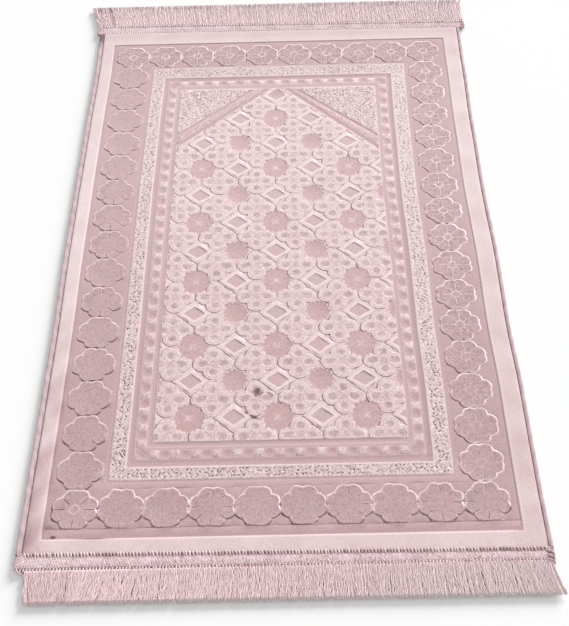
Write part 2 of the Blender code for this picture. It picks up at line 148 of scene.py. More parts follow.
print("pile is", round(PILE_RIGHT - PILE_LEFT, 4), "m wide and",
      round(FAR_TAPE_INNER - NEAR_TAPE_INNER, 4), "m long")

# %% [markdown]
# ## How the rug lies
# A woven rug is never quite straight: its sides bow by a few millimetres, one corner is pulled
# outwards and the tapes are sewn on askew. One function moves any point of the straight rug to its
# place on the floor, and every piece passes through it, so that they all stay together.

# %% How the rug lies
SIDE_BOW = np.array([       # v, left edge's shift, right edge's shift
    (-0.647, -0.0020, 0.0010), (-0.560, -0.0020, 0.0010), (-0.480, -0.0015, 0.0010),
    (-0.320, 0.0000, 0.0012), (-0.200, 0.0010, -0.0015), (-0.060, 0.0000, 0.0000),
    (0.100, 0.0010, -0.0025), (0.260, 0.0025, -0.0010), (0.440, 0.0050, 0.0025),
    (0.560, 0.0040, 0.0050), (0.647, 0.0000, 0.0000),
])
CORNER_FLARE, NEAR_SKEW, FAR_SKEW, NEAR_SKEW_END = 0.0012, 0.0025, 0.0025, 0.6150


def ease(low, high, x):
    """Smooth step from 0 at low to 1 at high."""
    t = np.clip((np.asarray(x, float) - low) / (high - low), 0.0, 1.0)
    return t * t * (3.0 - 2.0 * t)


def read_table(rows, key, column):
    """A column's value at key, smoothed between the rows of a table sorted by its first column."""
    rows, key = np.asarray(rows, float), np.asarray(key, float)
    i = np.clip(np.searchsorted(rows[:, 0], key) - 1, 0, len(rows) - 2)
    t = np.clip((key - rows[i, 0]) / (rows[i + 1, 0] - rows[i, 0]), 0.0, 1.0)
    t = t * t * (3.0 - 2.0 * t)
    return rows[i, column] * (1.0 - t) + rows[i + 1, column] * t


def as_it_lies(u, v, z):
    """Points of the straight rug, moved to where the real one lies, as rows of x, y, z."""
    u, v, z = np.broadcast_arrays(*(np.asarray(a, float) for a in (u, v, z)))
    share = np.clip((u + HALF_WIDTH) / (2 * HALF_WIDTH), 0.0, 1.0)
    bow = read_table(SIDE_BOW, v, 1) * (1.0 - share) + read_table(SIDE_BOW, v, 2) * share
    flare = (CORNER_FLARE * ease(0.300, HALF_WIDTH, u) * ease(0.490, -NEAR_TAPE_INNER, -v)
             * ease(HALF_LENGTH, -NEAR_TAPE_OUTER, -v))
    _, _, band_near, band_far = ZONES["flower band"]
    near = ease(-band_near, -NEAR_TAPE_INNER, -v) * ease(NEAR_SKEW_END, -NEAR_TAPE_INNER, -v)
    far = ease(band_far, FAR_TAPE_INNER, v) * ease(HALF_LENGTH, FAR_TAPE_INNER, v)
    skew = np.clip(u / HALF_WIDTH, -1.0, 1.0) * (NEAR_SKEW * near + FAR_SKEW * far)
    return np.stack([u + bow + flare, v - skew, z], axis=-1)


print("near right corner moves to", as_it_lies(HALF_WIDTH, NEAR_TAPE_INNER, 0).round(4))

# %% [markdown]
# ## Carving as distances
# Carved velvet is cut with shears: the outlines are cut down, the motifs between them stay
# high. An easy way to describe such a surface is a distance for each motif, negative inside it
# and positive outside. A short table then gives the height and the lustre at a few distances,
# and the mesh gets a row of points at just those distances, so nothing is smeared.

# %% Distances and profiles
MM = 1e-3


def box_depth(u, v, zone):
    """How far inside a zone of the pattern a point is."""
    middle, half, near, far = ZONES[zone]
    return np.minimum(half - np.abs(u - middle), np.minimum(v - near, far - v))


def tent(distance, half):
    """1 at distance 0, falling straight to 0 at half."""
    return np.clip(1.0 - np.abs(distance) / half, 0.0, 1.0)


def profile(distance, rows, column):
    """A column's value at each distance from an outline, straight between the table's rows."""
    rows = np.asarray(rows)
    return np.interp(distance, rows[:, 0] * MM, rows[:, column])


def steps_of(rows):
    """The distances of a table's rows, in metres: where the mesh needs its points."""
    return [row[0] * MM for row in rows]


print("a tent 2 mm wide, 0.5 mm from its top:", tent(0.5 * MM, 1 * MM))

# %% [markdown]
# ## Outlines made of circles
# A border flower's outline is the union of eight circles, set in four pairs. A quatrefoil is the
# union of four rings. The distance to such an outline is the distance to the nearest circle, with
# a plain disc filling the middle.

# %% Distances of the motifs
LOBE_CENTRE, LOBE_RADIUS, LOBE_SWING = 0.0197, 0.0120, math.radians(25)
RING_OFFSET, RING_RADIUS = 0.0163, 0.0141


def flower_parts(x, y):
    """For points round a flower: distance to its outline, and the outline's direction there."""
    turn = np.arctan2(y, x)
    quarter = np.floor(turn / (math.pi / 2)) * (math.pi / 2) + math.pi / 4
    lobe = quarter + np.where(turn > quarter, LOBE_SWING, -LOBE_SWING)
    dx, dy = x - LOBE_CENTRE * np.cos(lobe), y - LOBE_CENTRE * np.sin(lobe)
    away = np.hypot(dx, dy) + 1e-9
    return np.minimum(away - LOBE_RADIUS, np.hypot(x, y) - LOBE_CENTRE), dx / away, dy / away


def quatrefoil_parts(x, y):
    """Distance to the outline of four touching rings, its direction, and place in the ring."""
    turn = np.round(np.arctan2(y, x) / (math.pi / 2)) * (math.pi / 2)
    dx, dy = x - RING_OFFSET * np.cos(turn), y - RING_OFFSET * np.sin(turn)
    away = np.hypot(dx, dy) + 1e-9
    edge = np.minimum(away - RING_RADIUS, np.hypot(x, y) - RING_OFFSET)
    return edge, dx / away, dy / away, dx, dy, np.abs(np.sin(turn)) < 0.5


def lozenge_distance(x, y, a, b):
    return (np.abs(x) / a + np.abs(y) / b - 1.0) * a * b / math.hypot(a, b)


def nearest_flower(u, v):
    """The row and column of the closest border flower, and the point's place from its middle."""
    start = [FLOWER_MIDDLE[k] - (FLOWERS[k] - 1) / 2 * FLOWER_PITCH[k] for k in (0, 1)]
    i = np.clip(np.round((u - start[0]) / FLOWER_PITCH[0]), 0, FLOWERS[0] - 1)
    j = np.clip(np.round((v - start[1]) / FLOWER_PITCH[1]), 0, FLOWERS[1] - 1)
    return i, j, u - start[0] - i * FLOWER_PITCH[0], v - start[1] - j * FLOWER_PITCH[1]


def nearest_knot(u, v, shift=0.0):
    """Column and row of the closest lattice place (shift 0.5: between them), and offsets."""
    column = np.round((u - LATTICE_MIDDLE) / LATTICE_PITCH[0] - shift) + shift
    row = np.round((LATTICE_TOP_ROW - v) / LATTICE_PITCH[1] - shift) + shift
    return (column, row, u - LATTICE_MIDDLE - column * LATTICE_PITCH[0],
            v - LATTICE_TOP_ROW + row * LATTICE_PITCH[1])


print("a flower is", round(2e3 * (LOBE_CENTRE * math.cos(math.radians(20)) + LOBE_RADIUS), 1), "mm wide")

# %% [markdown]
# ## The arch
# Two pairs of diagonal lines make the arch's point. They were woven a little unevenly, so each
# line has its own start on the field's far edge and its own slope.

# %% The arch
ARCH_LINES = {              # where the line leaves the field's far edge, its slope, its side
    "outer": ((-0.0500, 0.936, -1), (0.0310, 0.926, 1)),
    "inner": ((-0.0158, 0.960, -1), (0.0069, 1.030, 1)),
}
FAR_EDGE = ZONES["field"][3]


def above_arch(u, v, line):
    """Distance above the nearer diagonal of the arch; negative below both."""
    found = [(v - FAR_EDGE + slope * side * (u - start)) / math.hypot(1, slope)
             for start, slope, side in ARCH_LINES[line]]
    return np.maximum(*found)


print("the arch's shoulders start", round(float(-above_arch(0.0, 0.2, "inner")) * 1e3), "mm above (0, 0.2)")

# %% [markdown]
# ## Height and lustre of the pile
# Velvet looks dark where we see into its cut ends or into a groove, and pale where the yarns lie
# over and shine. So each point gets its height and its lustre, from 0, the bottom of a cut, to 1,
# a shining lip. Lustre holds the pile's own pale and dark tones, and painted light as well: painted
# shade in cuts and grooves, painted highlights on lips and ridges. Two more numbers help the
# material: grain says how broken up the pile's face is, and blush how rosy its colour. A small
# class keeps the four together for many points at once.

# %% The pile's four numbers
PALE_TOP, BAND_TOP, SPECKLE_TOP, FIELD_TOP = 0.0068, 0.0060, 0.0065, 0.0065
PALE, VELVET, LINE = 0.84, 0.50, 0.48       # lustre of the border, the flower band, the dark lines
STEP = 0.0007               # half the plan width of a carved step


class Pile:
    """Height, lustre, grain and blush of many points at once, worked on zone by zone."""

    def __init__(self, count):
        self.z = np.full(count, PALE_TOP)
        self.lustre = np.full(count, PALE)
        self.grain = np.full(count, 0.06)
        self.blush = np.full(count, 0.35)

    def lay(self, share, z=None, lustre=None, grain=None, blush=None):
        """Blend towards new values by share, from 0 to 1 at each point."""
        for name, value in (("z", z), ("lustre", lustre), ("grain", grain), ("blush", blush)):
            if value is not None:
                old = getattr(self, name)
                setattr(self, name, old + (value - old) * share)

    def add(self, share, z=0.0, lustre=0.0):
        self.z = self.z + z * share
        self.lustre = self.lustre + lustre * share


def inside(depth):
    return np.clip(0.5 + depth / (2 * STEP), 0.0, 1.0)


def stroke(u, v, size):
    """A slow, uneven change from -1 to 1, as where a hand has stroked the pile."""
    a, b = u / size, v / size
    return (np.sin(a + 2.1 * np.sin(0.7 * b)) + np.sin(1.3 * b + 1.7 * np.sin(0.9 * a + 1.0))) / 2


print("the pale border is", PALE_TOP * 1e3, "mm high, the flower band", BAND_TOP * 1e3)

# %% [markdown]
# ## The plain zones
# The frame of the pattern is a set of rectangles, one inside the other. Each is laid over the
# last, so a zone only has to know its own edge. Where two heights meet, the taller pile leans over
# and shows a pale lip, a painted highlight, and the foot of the flower band's step gets painted
# shade. A table says where the mesh will need rows of points for it.


# %% Plain zones
def plain_zones(pile, u, v):
    """The nested rectangles, from the outside in, with a pale lip of painted highlight where two heights
    meet.
    """
    band = box_depth(u, v, "flower band")
    pile.add(tent(band + 2.4 * MM, 1.6 * MM), lustre=0.10)
    pile.lay(inside(band), z=BAND_TOP, lustre=VELVET, grain=0.14, blush=0.50)
    # painted shade in the groove at the foot of the flower band's step
    pile.add(tent(band - 0.8 * MM, 1.2 * MM), z=-0.0002, lustre=-0.15)
    speckled = box_depth(u, v, "speckled")
    pile.add(tent(speckled + 4.0 * MM, 2.0 * MM), lustre=0.05)
    paler_right = 0.05 * ease(0.18, 0.21, u)
    pile.lay(inside(speckled), z=SPECKLE_TOP, lustre=0.82 + paler_right, grain=1.0, blush=0.25)
    outer = box_depth(u, v, "outer line")
    pile.add(tent(outer + 1.4 * MM, 1.2 * MM), lustre=0.10)
    pile.lay(inside(outer + 2.0 * MM), grain=0.25)
    pile.lay(inside(outer), z=BAND_TOP, lustre=LINE, grain=0.16, blush=0.55)
    guard = box_depth(u, v, "guard")
    pile.lay(inside(guard), z=BAND_TOP + 0.0002, lustre=0.575, grain=0.20, blush=0.55)
    pile.add(tent(guard - 0.7 * MM, 1.1 * MM), lustre=0.09)
    inner = box_depth(u, v, "inner line")
    pile.add(tent(inner + 1.1 * MM, 1.1 * MM), lustre=0.13)
    pile.lay(inside(inner), z=BAND_TOP, lustre=0.57, grain=0.18, blush=0.5)


PLAIN_OFFSETS = {           # where each zone's edge needs rows of points, in mm, negative outside
    "flower band": (-4.0, -2.4, -0.8, -0.4, 0.8, 2.0),
    "speckled": (-6.0, -4.0, -2.0, -0.7, 0.7, 1.8),
    "outer line": (-2.7, -1.4, -0.7, 0.7),
    "guard": (-0.7, 0.7, 1.8),
    "inner line": (-2.2, -1.1, -0.3, 0.7),
    "field": (-1.0, -0.3, 0.7),
}
print("zones:", ", ".join(PLAIN_OFFSETS))

# %% [markdown]
# ## The flowers of the border
# A thin ridge of longer yarn runs along each flower's outline and carries a painted highlight.
# Where the outline faces the viewer or the left, away from the light, a shallow cut beside it is
# darkened with painted shade. How strong both are depends on the side of the rug. The facts about
# the flower that each point belongs to are worked out once and handed on.

# %% Outlines of the flowers
FLOWER_EDGE = (             # distance from the outline, height, lustre where lit, where shaded
    (-2.3, 0.36, 0.00, 0.00),
    (-1.1, 0.50, 0.42, 0.02),
    (0.1, 0.40, 0.40, -0.25),
    (0.8, -0.10, 0.02, -0.75),
    (1.5, -0.05, 0.00, -0.40),
    (2.4, 0.00, 0.00, 0.00),
)


def flower_facts(u, v):
    """Which flower each point belongs to, where in it the point lies, and how worn it is there."""
    i, j, x, y = nearest_flower(u, v)
    band = inside(box_depth(u, v, "flower band")) * (1 - inside(box_depth(u, v, "speckled")))
    woven = (i == 0) | (i == FLOWERS[0] - 1) | (j == 0) | (j == FLOWERS[1] - 1)
    distance, nx, ny = flower_parts(x, y)
    near = (j == 0).astype(float)
    clear = np.maximum(i == FLOWERS[0] - 1, j == FLOWERS[1] - 1) * (1 - near)
    away, turn = np.hypot(x, y), np.arctan2(y, x)
    number = np.round(turn / (math.pi / 4))
    return SimpleNamespace(
        i=i, j=j, x=x, y=y, band=band, petals=band * woven, distance=distance, nx=nx, ny=ny,
        near=near, clear=clear, petals_show=clear * (0.30 + 0.70 * ease(-0.42, -0.05, v)),
        corner=((i == 0) & (j == 0)).astype(float), away=away, number=number,
        aside=away * np.sin(turn - number * (math.pi / 4)),
        worn=0.60 + 0.40 * stroke(u, v, 0.0065), ragged=stroke(u, v, 0.0010))


def flower_outlines(pile, f):
    left = (1 - f.near) * (1 - f.clear)
    near_left = -0.8 * f.nx - 0.55 * f.ny       # how far the outline faces the near left
    # lit: painted highlight along the ridge; dark: painted shade in the cut, both set by which way the
    # outline faces the light
    lit = (f.near * ease(-0.55, -0.05, f.ny) + left * 0.85 * ease(-0.35, 0.35, 0.8 * f.ny - 0.6 * f.nx)
           + f.clear * (1.45 - 0.9 * ease(0.3, 0.9, near_left)))
    dark = (f.near * ease(0.10, 0.60, -f.ny) * (0.30 + 0.70 * np.abs(f.nx)) + left * ease(0.15, 0.65, -f.ny)
            + 0.9 * f.clear * ease(0.45, 0.95, near_left)) * ease(0.20, 0.70, f.worn)
    lit *= 0.35 + 0.65 * ease(0.2, 0.8, f.worn)
    dark = np.clip(dark, 0, 1)
    cut = -0.0002 * tent(f.distance - 0.7 * MM, 1.0 * MM)
    pile.add(f.petals, z=profile(f.distance, FLOWER_EDGE, 1) * MM)
    pile.add(f.petals * lit, lustre=profile(f.distance, FLOWER_EDGE, 2))
    pile.add(f.petals * dark, z=cut, lustre=profile(f.distance, FLOWER_EDGE, 3))


print("rows of points round a flower:", len(FLOWER_EDGE))

# %% [markdown]
# ## Petals, rings and creases
# The flowers of the right column and of the far row show pale lines between their petals, a
# painted sheen, each with a painted shaded side, a ring in the middle and broken bright bits where
# two flowers meet. The others are plain inside, but for short creases where two petals meet,
# darkened with painted shade and with a painted highlight along one side. The near left corner's
# flower has a faint ring as well, and longer creases in its near half.

# %% Petals and creases
EYE_RING, EYE_WIDTH = 0.0068, 0.0020
SPOKE_WIDTH, SPOKE_PLACES = 0.0014, (0.0095, 0.0165, 0.0235)
CREASE_WIDTH, CREASE_PLACES = 0.0009, (0.0150, 0.0205, 0.0265)
LONG_CREASE_START = 0.0085


def petals(pile, f):
    """Pale lines between the petals, a painted sheen with a painted shaded side, and the ring in the middle.
    """
    first, last = SPOKE_PLACES[0], SPOKE_PLACES[-1]
    along = ease(first - 0.002, first, f.away) * ease(last + 0.002, last - 0.002, f.away)
    upright = 0.60 + 0.40 * np.abs(np.cos(2 * f.number * (math.pi / 4)))
    shown = f.petals * f.petals_show * along * upright * (0.25 + 0.75 * f.worn)
    pile.add(shown * tent(f.aside, SPOKE_WIDTH), z=0.0001, lustre=0.60)
    pile.add(shown * tent(f.aside - SPOKE_WIDTH, SPOKE_WIDTH), z=-0.0001, lustre=-0.30)
    eye = f.petals * np.maximum(f.petals_show, 0.55 * f.corner)
    pile.add(eye * tent(f.away - EYE_RING, EYE_WIDTH) * (0.3 + 0.7 * f.worn), z=0.0001, lustre=0.56)
    outermost = np.maximum(abs(f.x), abs(f.y))
    meeting = np.maximum(f.near * ease(0.0240, 0.0285, np.abs(f.x)),
                         f.petals_show * ease(0.0250, 0.0285, outermost))
    pile.add(f.petals * meeting * tent(f.distance, 2.3 * MM), lustre=0.62 * f.ragged)


def crease_depth(i, j, spoke):
    """From 0 to 1, how deep each crease of a flower is: uneven, but the same in every run."""
    return ease(0.35, 0.95, (np.sin(12.9 * i + 78.2 * j + 37.7 * (spoke % 8)) * 43.7) % 1.0)


def creases(pile, f):
    """Short creases darkened with painted shade, with a painted highlight on one side, in the flowers whose
    petals don't show.
    """
    near_half = (f.corner > 0) & (f.ny < 0)
    first, last = np.where(near_half, LONG_CREASE_START, CREASE_PLACES[0]), CREASE_PLACES[-1]
    along = ease(first, first + 0.006, f.away) * ease(last + 0.0010, last, f.away)
    deep = np.maximum(crease_depth(f.i, f.j, f.number), f.corner * (f.ny < 0))
    deep = f.petals * (f.petals_show == 0) * along * deep
    pile.add(deep * tent(f.aside, CREASE_WIDTH), z=-0.0002, lustre=-0.66)
    pile.add(deep * tent(f.aside - CREASE_WIDTH, CREASE_WIDTH), z=0.0001, lustre=0.30)
    pile.lay(f.petals * inside(-f.distance), grain=0.50 + 0.26 * f.petals_show)


print("a flower's eight creases, 1 being deepest:", crease_depth(0, 2, np.arange(8)).round(1))

# %% [markdown]
# ## Lines along the near row
# A straight line cuts off the near row of flowers, and another, fainter one runs above it. They
# are thin cuts, and the pile between the upper one and the speckled band is a little paler.

# %% Lines along the near row
CUT_OFF_LINE, TOP_LINE, THIN = -0.5396, -0.4786, 0.0006
TOP_LINE_REACH = 0.2560


def near_row_lines(pile, f, u, v):
    pile.lay(f.band * inside(CUT_OFF_LINE - 0.0002 - v), z=BAND_TOP, lustre=VELVET - 0.03, grain=0.18)
    pile.add(f.band * tent(v - CUT_OFF_LINE, THIN), z=-0.0002, lustre=-0.30)
    beyond = ease(TOP_LINE, TOP_LINE + 0.0006, v) * ease(-0.440, -0.460, v) * ease(0.2620, 0.2500, np.abs(u))
    pile.add(f.band * beyond, lustre=0.07)
    across = (np.abs(u) < TOP_LINE_REACH) & (np.abs(v - TOP_LINE) < THIN)
    uneven_cut = tent(v - TOP_LINE, THIN) * ease(0.2, 0.8, f.worn)
    pile.add(f.band * across * uneven_cut, z=-0.0002, lustre=-0.42)


def flowers(pile, u, v):
    facts = flower_facts(u, v)
    flower_outlines(pile, facts)
    petals(pile, facts)
    creases(pile, facts)
    near_row_lines(pile, facts, u, v)


print("the lines are", round((TOP_LINE - CUT_OFF_LINE) * 1e3), "mm apart")

# %% [markdown]
# ## The guard stripe
# Between two plain lines runs a narrow stripe with faint dark ovals, and pale, broken shapes like
# little bows between them. Their spacing is made to come out even on each side.

# %% Guard stripe
OVAL_SPACING, OVAL_ALONG, OVAL_ACROSS = 0.0280, 0.0064, 0.0058
BOW_WAIST, BOW_SPREAD, BOW_REACH = 0.0048, 0.34, 0.0070
STRIPE_MIDDLE = 0.0086      # from the stripe's outer edge to its middle line


def guard_places(u, v):
    """Depth into the stripe, and the place along it from the nearest oval's middle."""
    middle, half, near, far = ZONES["guard"]
    to_side, to_end = half - np.abs(u - middle), np.minimum(v - near, far - v)
    side = to_side < to_end
    run = np.where(side, v - (near + far) / 2, u - middle)
    count = np.where(side, round((far - near) / OVAL_SPACING), round(2 * half / OVAL_SPACING))
    spacing = np.where(side, far - near, 2 * half) / count
    along = run / spacing - 0.5 * (count % 2 == 0)
    return np.where(side, to_side, to_end), (along - np.round(along)) * spacing, spacing


def guard_stripe(pile, u, v):
    stripe = inside(box_depth(u, v, "guard")) * (1 - inside(box_depth(u, v, "inner line")))
    depth, along, spacing = guard_places(u, v)
    across = np.abs(depth - STRIPE_MIDDLE)
    oval = (np.hypot(along / OVAL_ALONG, across / OVAL_ACROSS) - 1) * OVAL_ACROSS
    pile.lay(stripe * ease(0.0005, -0.0005, oval), z=BAND_TOP, lustre=0.50, grain=0.18)
    pile.add(stripe * tent(oval - 0.9 * MM, 0.9 * MM), lustre=0.05)
    from_bow = spacing / 2 - np.abs(along)
    bow = ease(0.0006, -0.0006, from_bow - BOW_WAIST - BOW_SPREAD * across)
    bow = bow * ease(0.0006, -0.0006, across - BOW_REACH)
    pale = 0.80 + 0.06 * stroke(u, v, 0.02)
    pile.lay(stripe * bow, z=SPECKLE_TOP, lustre=pale, grain=0.95, blush=0.45)


print("ovals along a side:", round((ZONES["guard"][3] - ZONES["guard"][2]) / OVAL_SPACING))

# %% [markdown]
# ## The edge of a motif
# The field is a lattice of lozenges, stars and quatrefoils. The ground between them is as pale as
# they are, so they show by their grooves, which are dark where their wall faces the near left,
# away from the light. All motifs share one table for that edge.

# %% Edge of a motif
MOTIF_EDGE = (              # distance from the outline, height, lustre where lit, where shaded
    (-2.2, 0.00, 0.00, 0.00),
    (-0.9, 0.06, 0.20, 0.12),
    (-0.1, 0.03, 0.04, -0.25),
    (0.5, -0.08, -0.08, -1.10),
    (1.5, 0.00, 0.00, 0.00),
)


def cut_round(pile, share, distance, nx, ny, worn):
    """A shining lip inside an outline and a groove outside it, dark on the shaded side."""
    shade = ease(-0.10, 0.50, -0.75 * nx - 0.70 * ny) * ease(0.15, 0.65, worn)
    pile.add(share, z=profile(distance, MOTIF_EDGE, 1) * MM)
    pile.add(share * (1 - shade), lustre=profile(distance, MOTIF_EDGE, 2))
    pile.add(share * shade, lustre=profile(distance, MOTIF_EDGE, 3))


print("rows of points round a motif:", len(MOTIF_EDGE))

# %% [markdown]
# ## Lozenges
# Each lozenge is a bright frame round a lower, darker hole. The hole's wall is shaded on the far
# right, and some holes are rosier than others.

# %% Lozenges
FRAME_HALF, HOLE_HALF = (0.0272, 0.0262), (0.0168, 0.0142)
LOZENGE_HOLE = (            # distance from the hole's edge, height, lustre
    (-1.6, 6.20, 0.60),
    (-0.5, 6.20, 0.57),
    (0.4, 6.70, 0.86),
    (1.4, 6.75, 0.95),
    (4.6, 6.65, 0.86),
    (6.2, 6.60, 0.74),
)
FRAME_OUT, FRAME_IN = 0.0074, 0.0062        # from the hole's edge, where the frame's table ends


def lozenges(pile, u, v, field):
    column, row, x, y = nearest_knot(u, v)
    edge = lozenge_distance(x, y, *FRAME_HALF)
    here = field * ((column + row) % 2 == 1) * (edge < 1.5 * MM)
    worn = 0.60 + 0.40 * stroke(u + 0.3, v, 0.008)
    cut_round(pile, here, edge, np.sign(x) * 0.7, np.sign(y) * 0.7, worn)
    hole = lozenge_distance(x, y, *HOLE_HALF)
    height, lustre = profile(hole, LOZENGE_HOLE, 1) * MM, profile(hole, LOZENGE_HOLE, 2)
    pile.lay(here * ease(FRAME_OUT, FRAME_IN, hole), z=height, lustre=lustre, grain=0.35)
    rosy = 0.42 + 0.34 * np.cos(column * 2.1 + row * 1.3)
    pile.lay(here * ease(0.0006, -0.0006, hole), grain=0.30, blush=rosy)
    far_right = ease(0.2, 0.9, (np.sign(x) + np.sign(y)) / 2)
    pile.add(here * tent(hole + 0.5 * MM, 0.9 * MM) * far_right * worn, lustre=-0.62)


print("a lozenge is", FRAME_HALF[0] * 2e3, "mm wide")

# %% [markdown]
# ## Stars
# A star is a low, rosy disc with sixteen short spikes. Every second row has larger ones, with a
# few pale rays in the middle.

# %% Stars
STARS = {True: (0.0245, 0.0285), False: (0.0205, 0.0225)}        # large or not: reach across, along
STAR_TOP, STAR_SPIKES, SPIKE_DEPTH, STAR_EDGE = 0.0061, 16, 0.17, 0.0009
RAY_WIDTH, RAY_START, RAY_END = 0.0010, 0.0078, 0.0060


def star_reach(turn):
    """How far a star reaches in a direction, as a share of its size: sixteen short spikes."""
    wave = np.abs((turn / (2 * math.pi) * STAR_SPIKES) % 1.0 - 0.5) * 2
    return 0.96 - SPIKE_DEPTH * (1 - wave) + 0.04 * np.cos(8 * np.asarray(turn))


def stars(pile, u, v, field):
    column, row, x, y = nearest_knot(u, v)
    here = field * ((column + row) % 2 == 0)
    for large, (reach_u, reach_v) in STARS.items():
        turn = np.arctan2(y / reach_v, x / reach_u)
        edge = (np.hypot(x / reach_u, y / reach_v) - star_reach(turn)) * reach_u
        mine = here * ((row % 2 == 0) == large)
        pile.lay(mine * ease(STAR_EDGE, -STAR_EDGE, edge), z=STAR_TOP, lustre=0.55, grain=0.40, blush=0.85)
    away, turn = np.hypot(x, y), np.arctan2(y, x)
    spoke = away * np.sin(np.abs(turn - np.round(turn / (math.pi / 4)) * (math.pi / 4)))
    slanted = 0.30 + 0.70 * np.abs(np.sin(2 * turn))
    rays = here * (row % 2 == 0) * ease(RAY_START, RAY_END, away) * tent(spoke, RAY_WIDTH) * slanted
    pile.add(rays, z=0.0001, lustre=0.46)


print("reach of a spike and of a notch:", star_reach(0.0).round(2), star_reach(math.pi / 16).round(2))

# %% [markdown]
# ## Quatrefoils
# Between the lattice places stand quatrefoils, each of four rings that touch. A ring is bright
# round a lower hole, and two faint cuts cross in the middle of the four.

# %% Quatrefoils
RING_HOLES = {True: (0.0082, 0.0070), False: (0.0068, 0.0070)}   # for side rings, for end rings
RING_HOLE = (               # distance from the ring's hole, height, lustre
    (-4.4, 6.30, 0.58),
    (-1.0, 6.40, 0.69),
    (0.5, 6.60, 0.85),
    (1.9, 6.65, 0.92),
    (2.8, 6.60, 0.73),
    (3.7, 6.60, 0.84),
)
RING_OUT, RING_IN = 0.0046, 0.0037          # from the hole, where the ring's table ends
CROSS_OFFSET, CROSS_WIDTH, CROSS_PLACES = 0.0028, 0.0010, (0.0030, 0.0110)


def quatrefoils(pile, u, v, field):
    _, _, x, y = nearest_knot(u, v, 0.5)
    edge, nx, ny, dx, dy, side_ring = quatrefoil_parts(x, y)
    worn = 0.60 + 0.40 * stroke(u, v + 0.2, 0.0075)
    cut_round(pile, field, edge, nx, ny, worn)
    body = field * (edge < 0)
    for is_side, (a, b) in RING_HOLES.items():
        hole = (np.hypot(dx / a, dy / b) - 1) * min(a, b)
        share = body * (side_ring == is_side) * ease(RING_OUT, RING_IN, hole)
        tone = profile(hole, RING_HOLE, 2) - 0.08 * stroke(u, v, 0.019) * (hole < 0)
        pile.lay(share, z=profile(hole, RING_HOLE, 1) * MM, lustre=tone)
        pile.lay(share * (hole < 0), blush=0.15 + 0.35 * stroke(u, v, 0.045))
    centre = np.hypot(x, y)
    cross = np.minimum(np.abs(x - y), np.abs(x + y)) / math.sqrt(2)
    first, last = CROSS_PLACES
    along = ease(first - 0.001, first, centre) * ease(last + 0.002, last - 0.001, centre)
    pile.add(body * tent(cross - CROSS_OFFSET, CROSS_WIDTH) * along * worn, z=-0.0001, lustre=-0.22)


print("a quatrefoil is", round((RING_OFFSET + RING_RADIUS) * 2e3, 1), "mm wide")

# %% [markdown]
# ## The band of the arch
# Two dark lines follow the arch, with a paler, mottled strip of dashes between them. Above it lies
# the same speckled ground as in the border, and a small dark lozenge fills the arch's point.

# %% Band of the arch
ARCH_MIDDLE = -0.009
OUTER_LINE, INNER_LINE = 0.0045, 0.0066     # widths of the band's dark lines
DASH_PITCH, DASH_HALF, DASH_FADE = 0.0125, 0.0048, 0.0030
ARCH_TIP = (-0.0045, 0.3612, 0.0135, 0.0150)    # u, v, half width, half length


def arch_band(pile, u, v, field):
    """The band that follows the arch: two dark lines, with a paler dashed strip between them."""
    below, above = above_arch(u, v, "inner"), above_arch(u, v, "outer")
    band = field * inside(below + 0.0003) * inside(-above)
    pile.lay(band, z=0.0063, lustre=0.655, grain=0.85, blush=0.75)
    run = np.where(u < ARCH_MIDDLE, u + v, v - u) / math.sqrt(2)
    dash = np.abs((run / DASH_PITCH) % 1.0 - 0.5) * DASH_PITCH
    strip = (below - 0.0075 + above + 0.0050) / 2
    pile.add(band * tent(strip, 0.0040) * ease(DASH_HALF, DASH_FADE, dash), lustre=-0.16)
    pile.lay(band * inside(above + OUTER_LINE), z=BAND_TOP, lustre=0.46, grain=0.20, blush=0.55)
    pile.lay(band * inside(INNER_LINE - below), z=BAND_TOP, lustre=0.47, grain=0.20, blush=0.70)
    pile.lay(field * inside(above), z=SPECKLE_TOP, lustre=0.825, grain=1.22, blush=0.40)
    tip_u, tip_v, half_u, half_v = ARCH_TIP
    tip = lozenge_distance(u - tip_u, v - tip_v, half_u, half_v)
    pile.lay(field * ease(0.0007, -0.0007, tip), z=STAR_TOP, lustre=0.47, grain=0.2, blush=0.9)


def field_motifs(pile, u, v):
    field = inside(box_depth(u, v, "field"))
    pile.lay(field, z=FIELD_TOP, lustre=0.79, grain=0.72, blush=0.50)
    under = field * inside(-above_arch(u, v, "inner"))
    quatrefoils(pile, u, v, under)
    lozenges(pile, u, v, under)
    stars(pile, u, v, under)
    arch_band(pile, u, v, field)


print("the arch's dark lines are", OUTER_LINE * 1e3, "and", INNER_LINE * 1e3, "mm wide")

# %% [markdown]
# ## Marks of use
# A few small dark marks lie near the front of the field and in the near left corner. Each is an
# ellipse with a ragged rim. They change the pile's lustre only, not its height.

# %% Marks
STAINS = (                  # u, v, half length, half width, turn in degrees, strength
    (-0.0351, -0.3212, 0.0105, 0.0098, 0, 0.80), (-0.0174, -0.3239, 0.0118, 0.0022, -33, 0.75),
    (-0.0400, -0.3642, 0.0105, 0.0036, -26, 1.10), (-0.0520, -0.3570, 0.0066, 0.0022, -42, 0.85),
    (-0.3023, -0.5516, 0.0052, 0.0030, -10, 0.85), (-0.2500, -0.5552, 0.0260, 0.0014, 0, 0.60),
)


def stains(pile, u, v):
    for stain_u, stain_v, long, wide, turn, strength in STAINS:
        c, s = math.cos(math.radians(turn)), math.sin(math.radians(turn))
        along, across = (u - stain_u) * c + (v - stain_v) * s, (v - stain_v) * c - (u - stain_u) * s
        spot = np.hypot(along / long, across / wide)
        ragged = ease(1.0, 0.35, spot * (1 + 0.26 * stroke(u, v, 0.0021)))
        pile.add(ragged * (spot < 1.0) * (0.78 + 0.22 * stroke(u, v, 0.0016)), lustre=-strength)


print("marks:", len(STAINS))

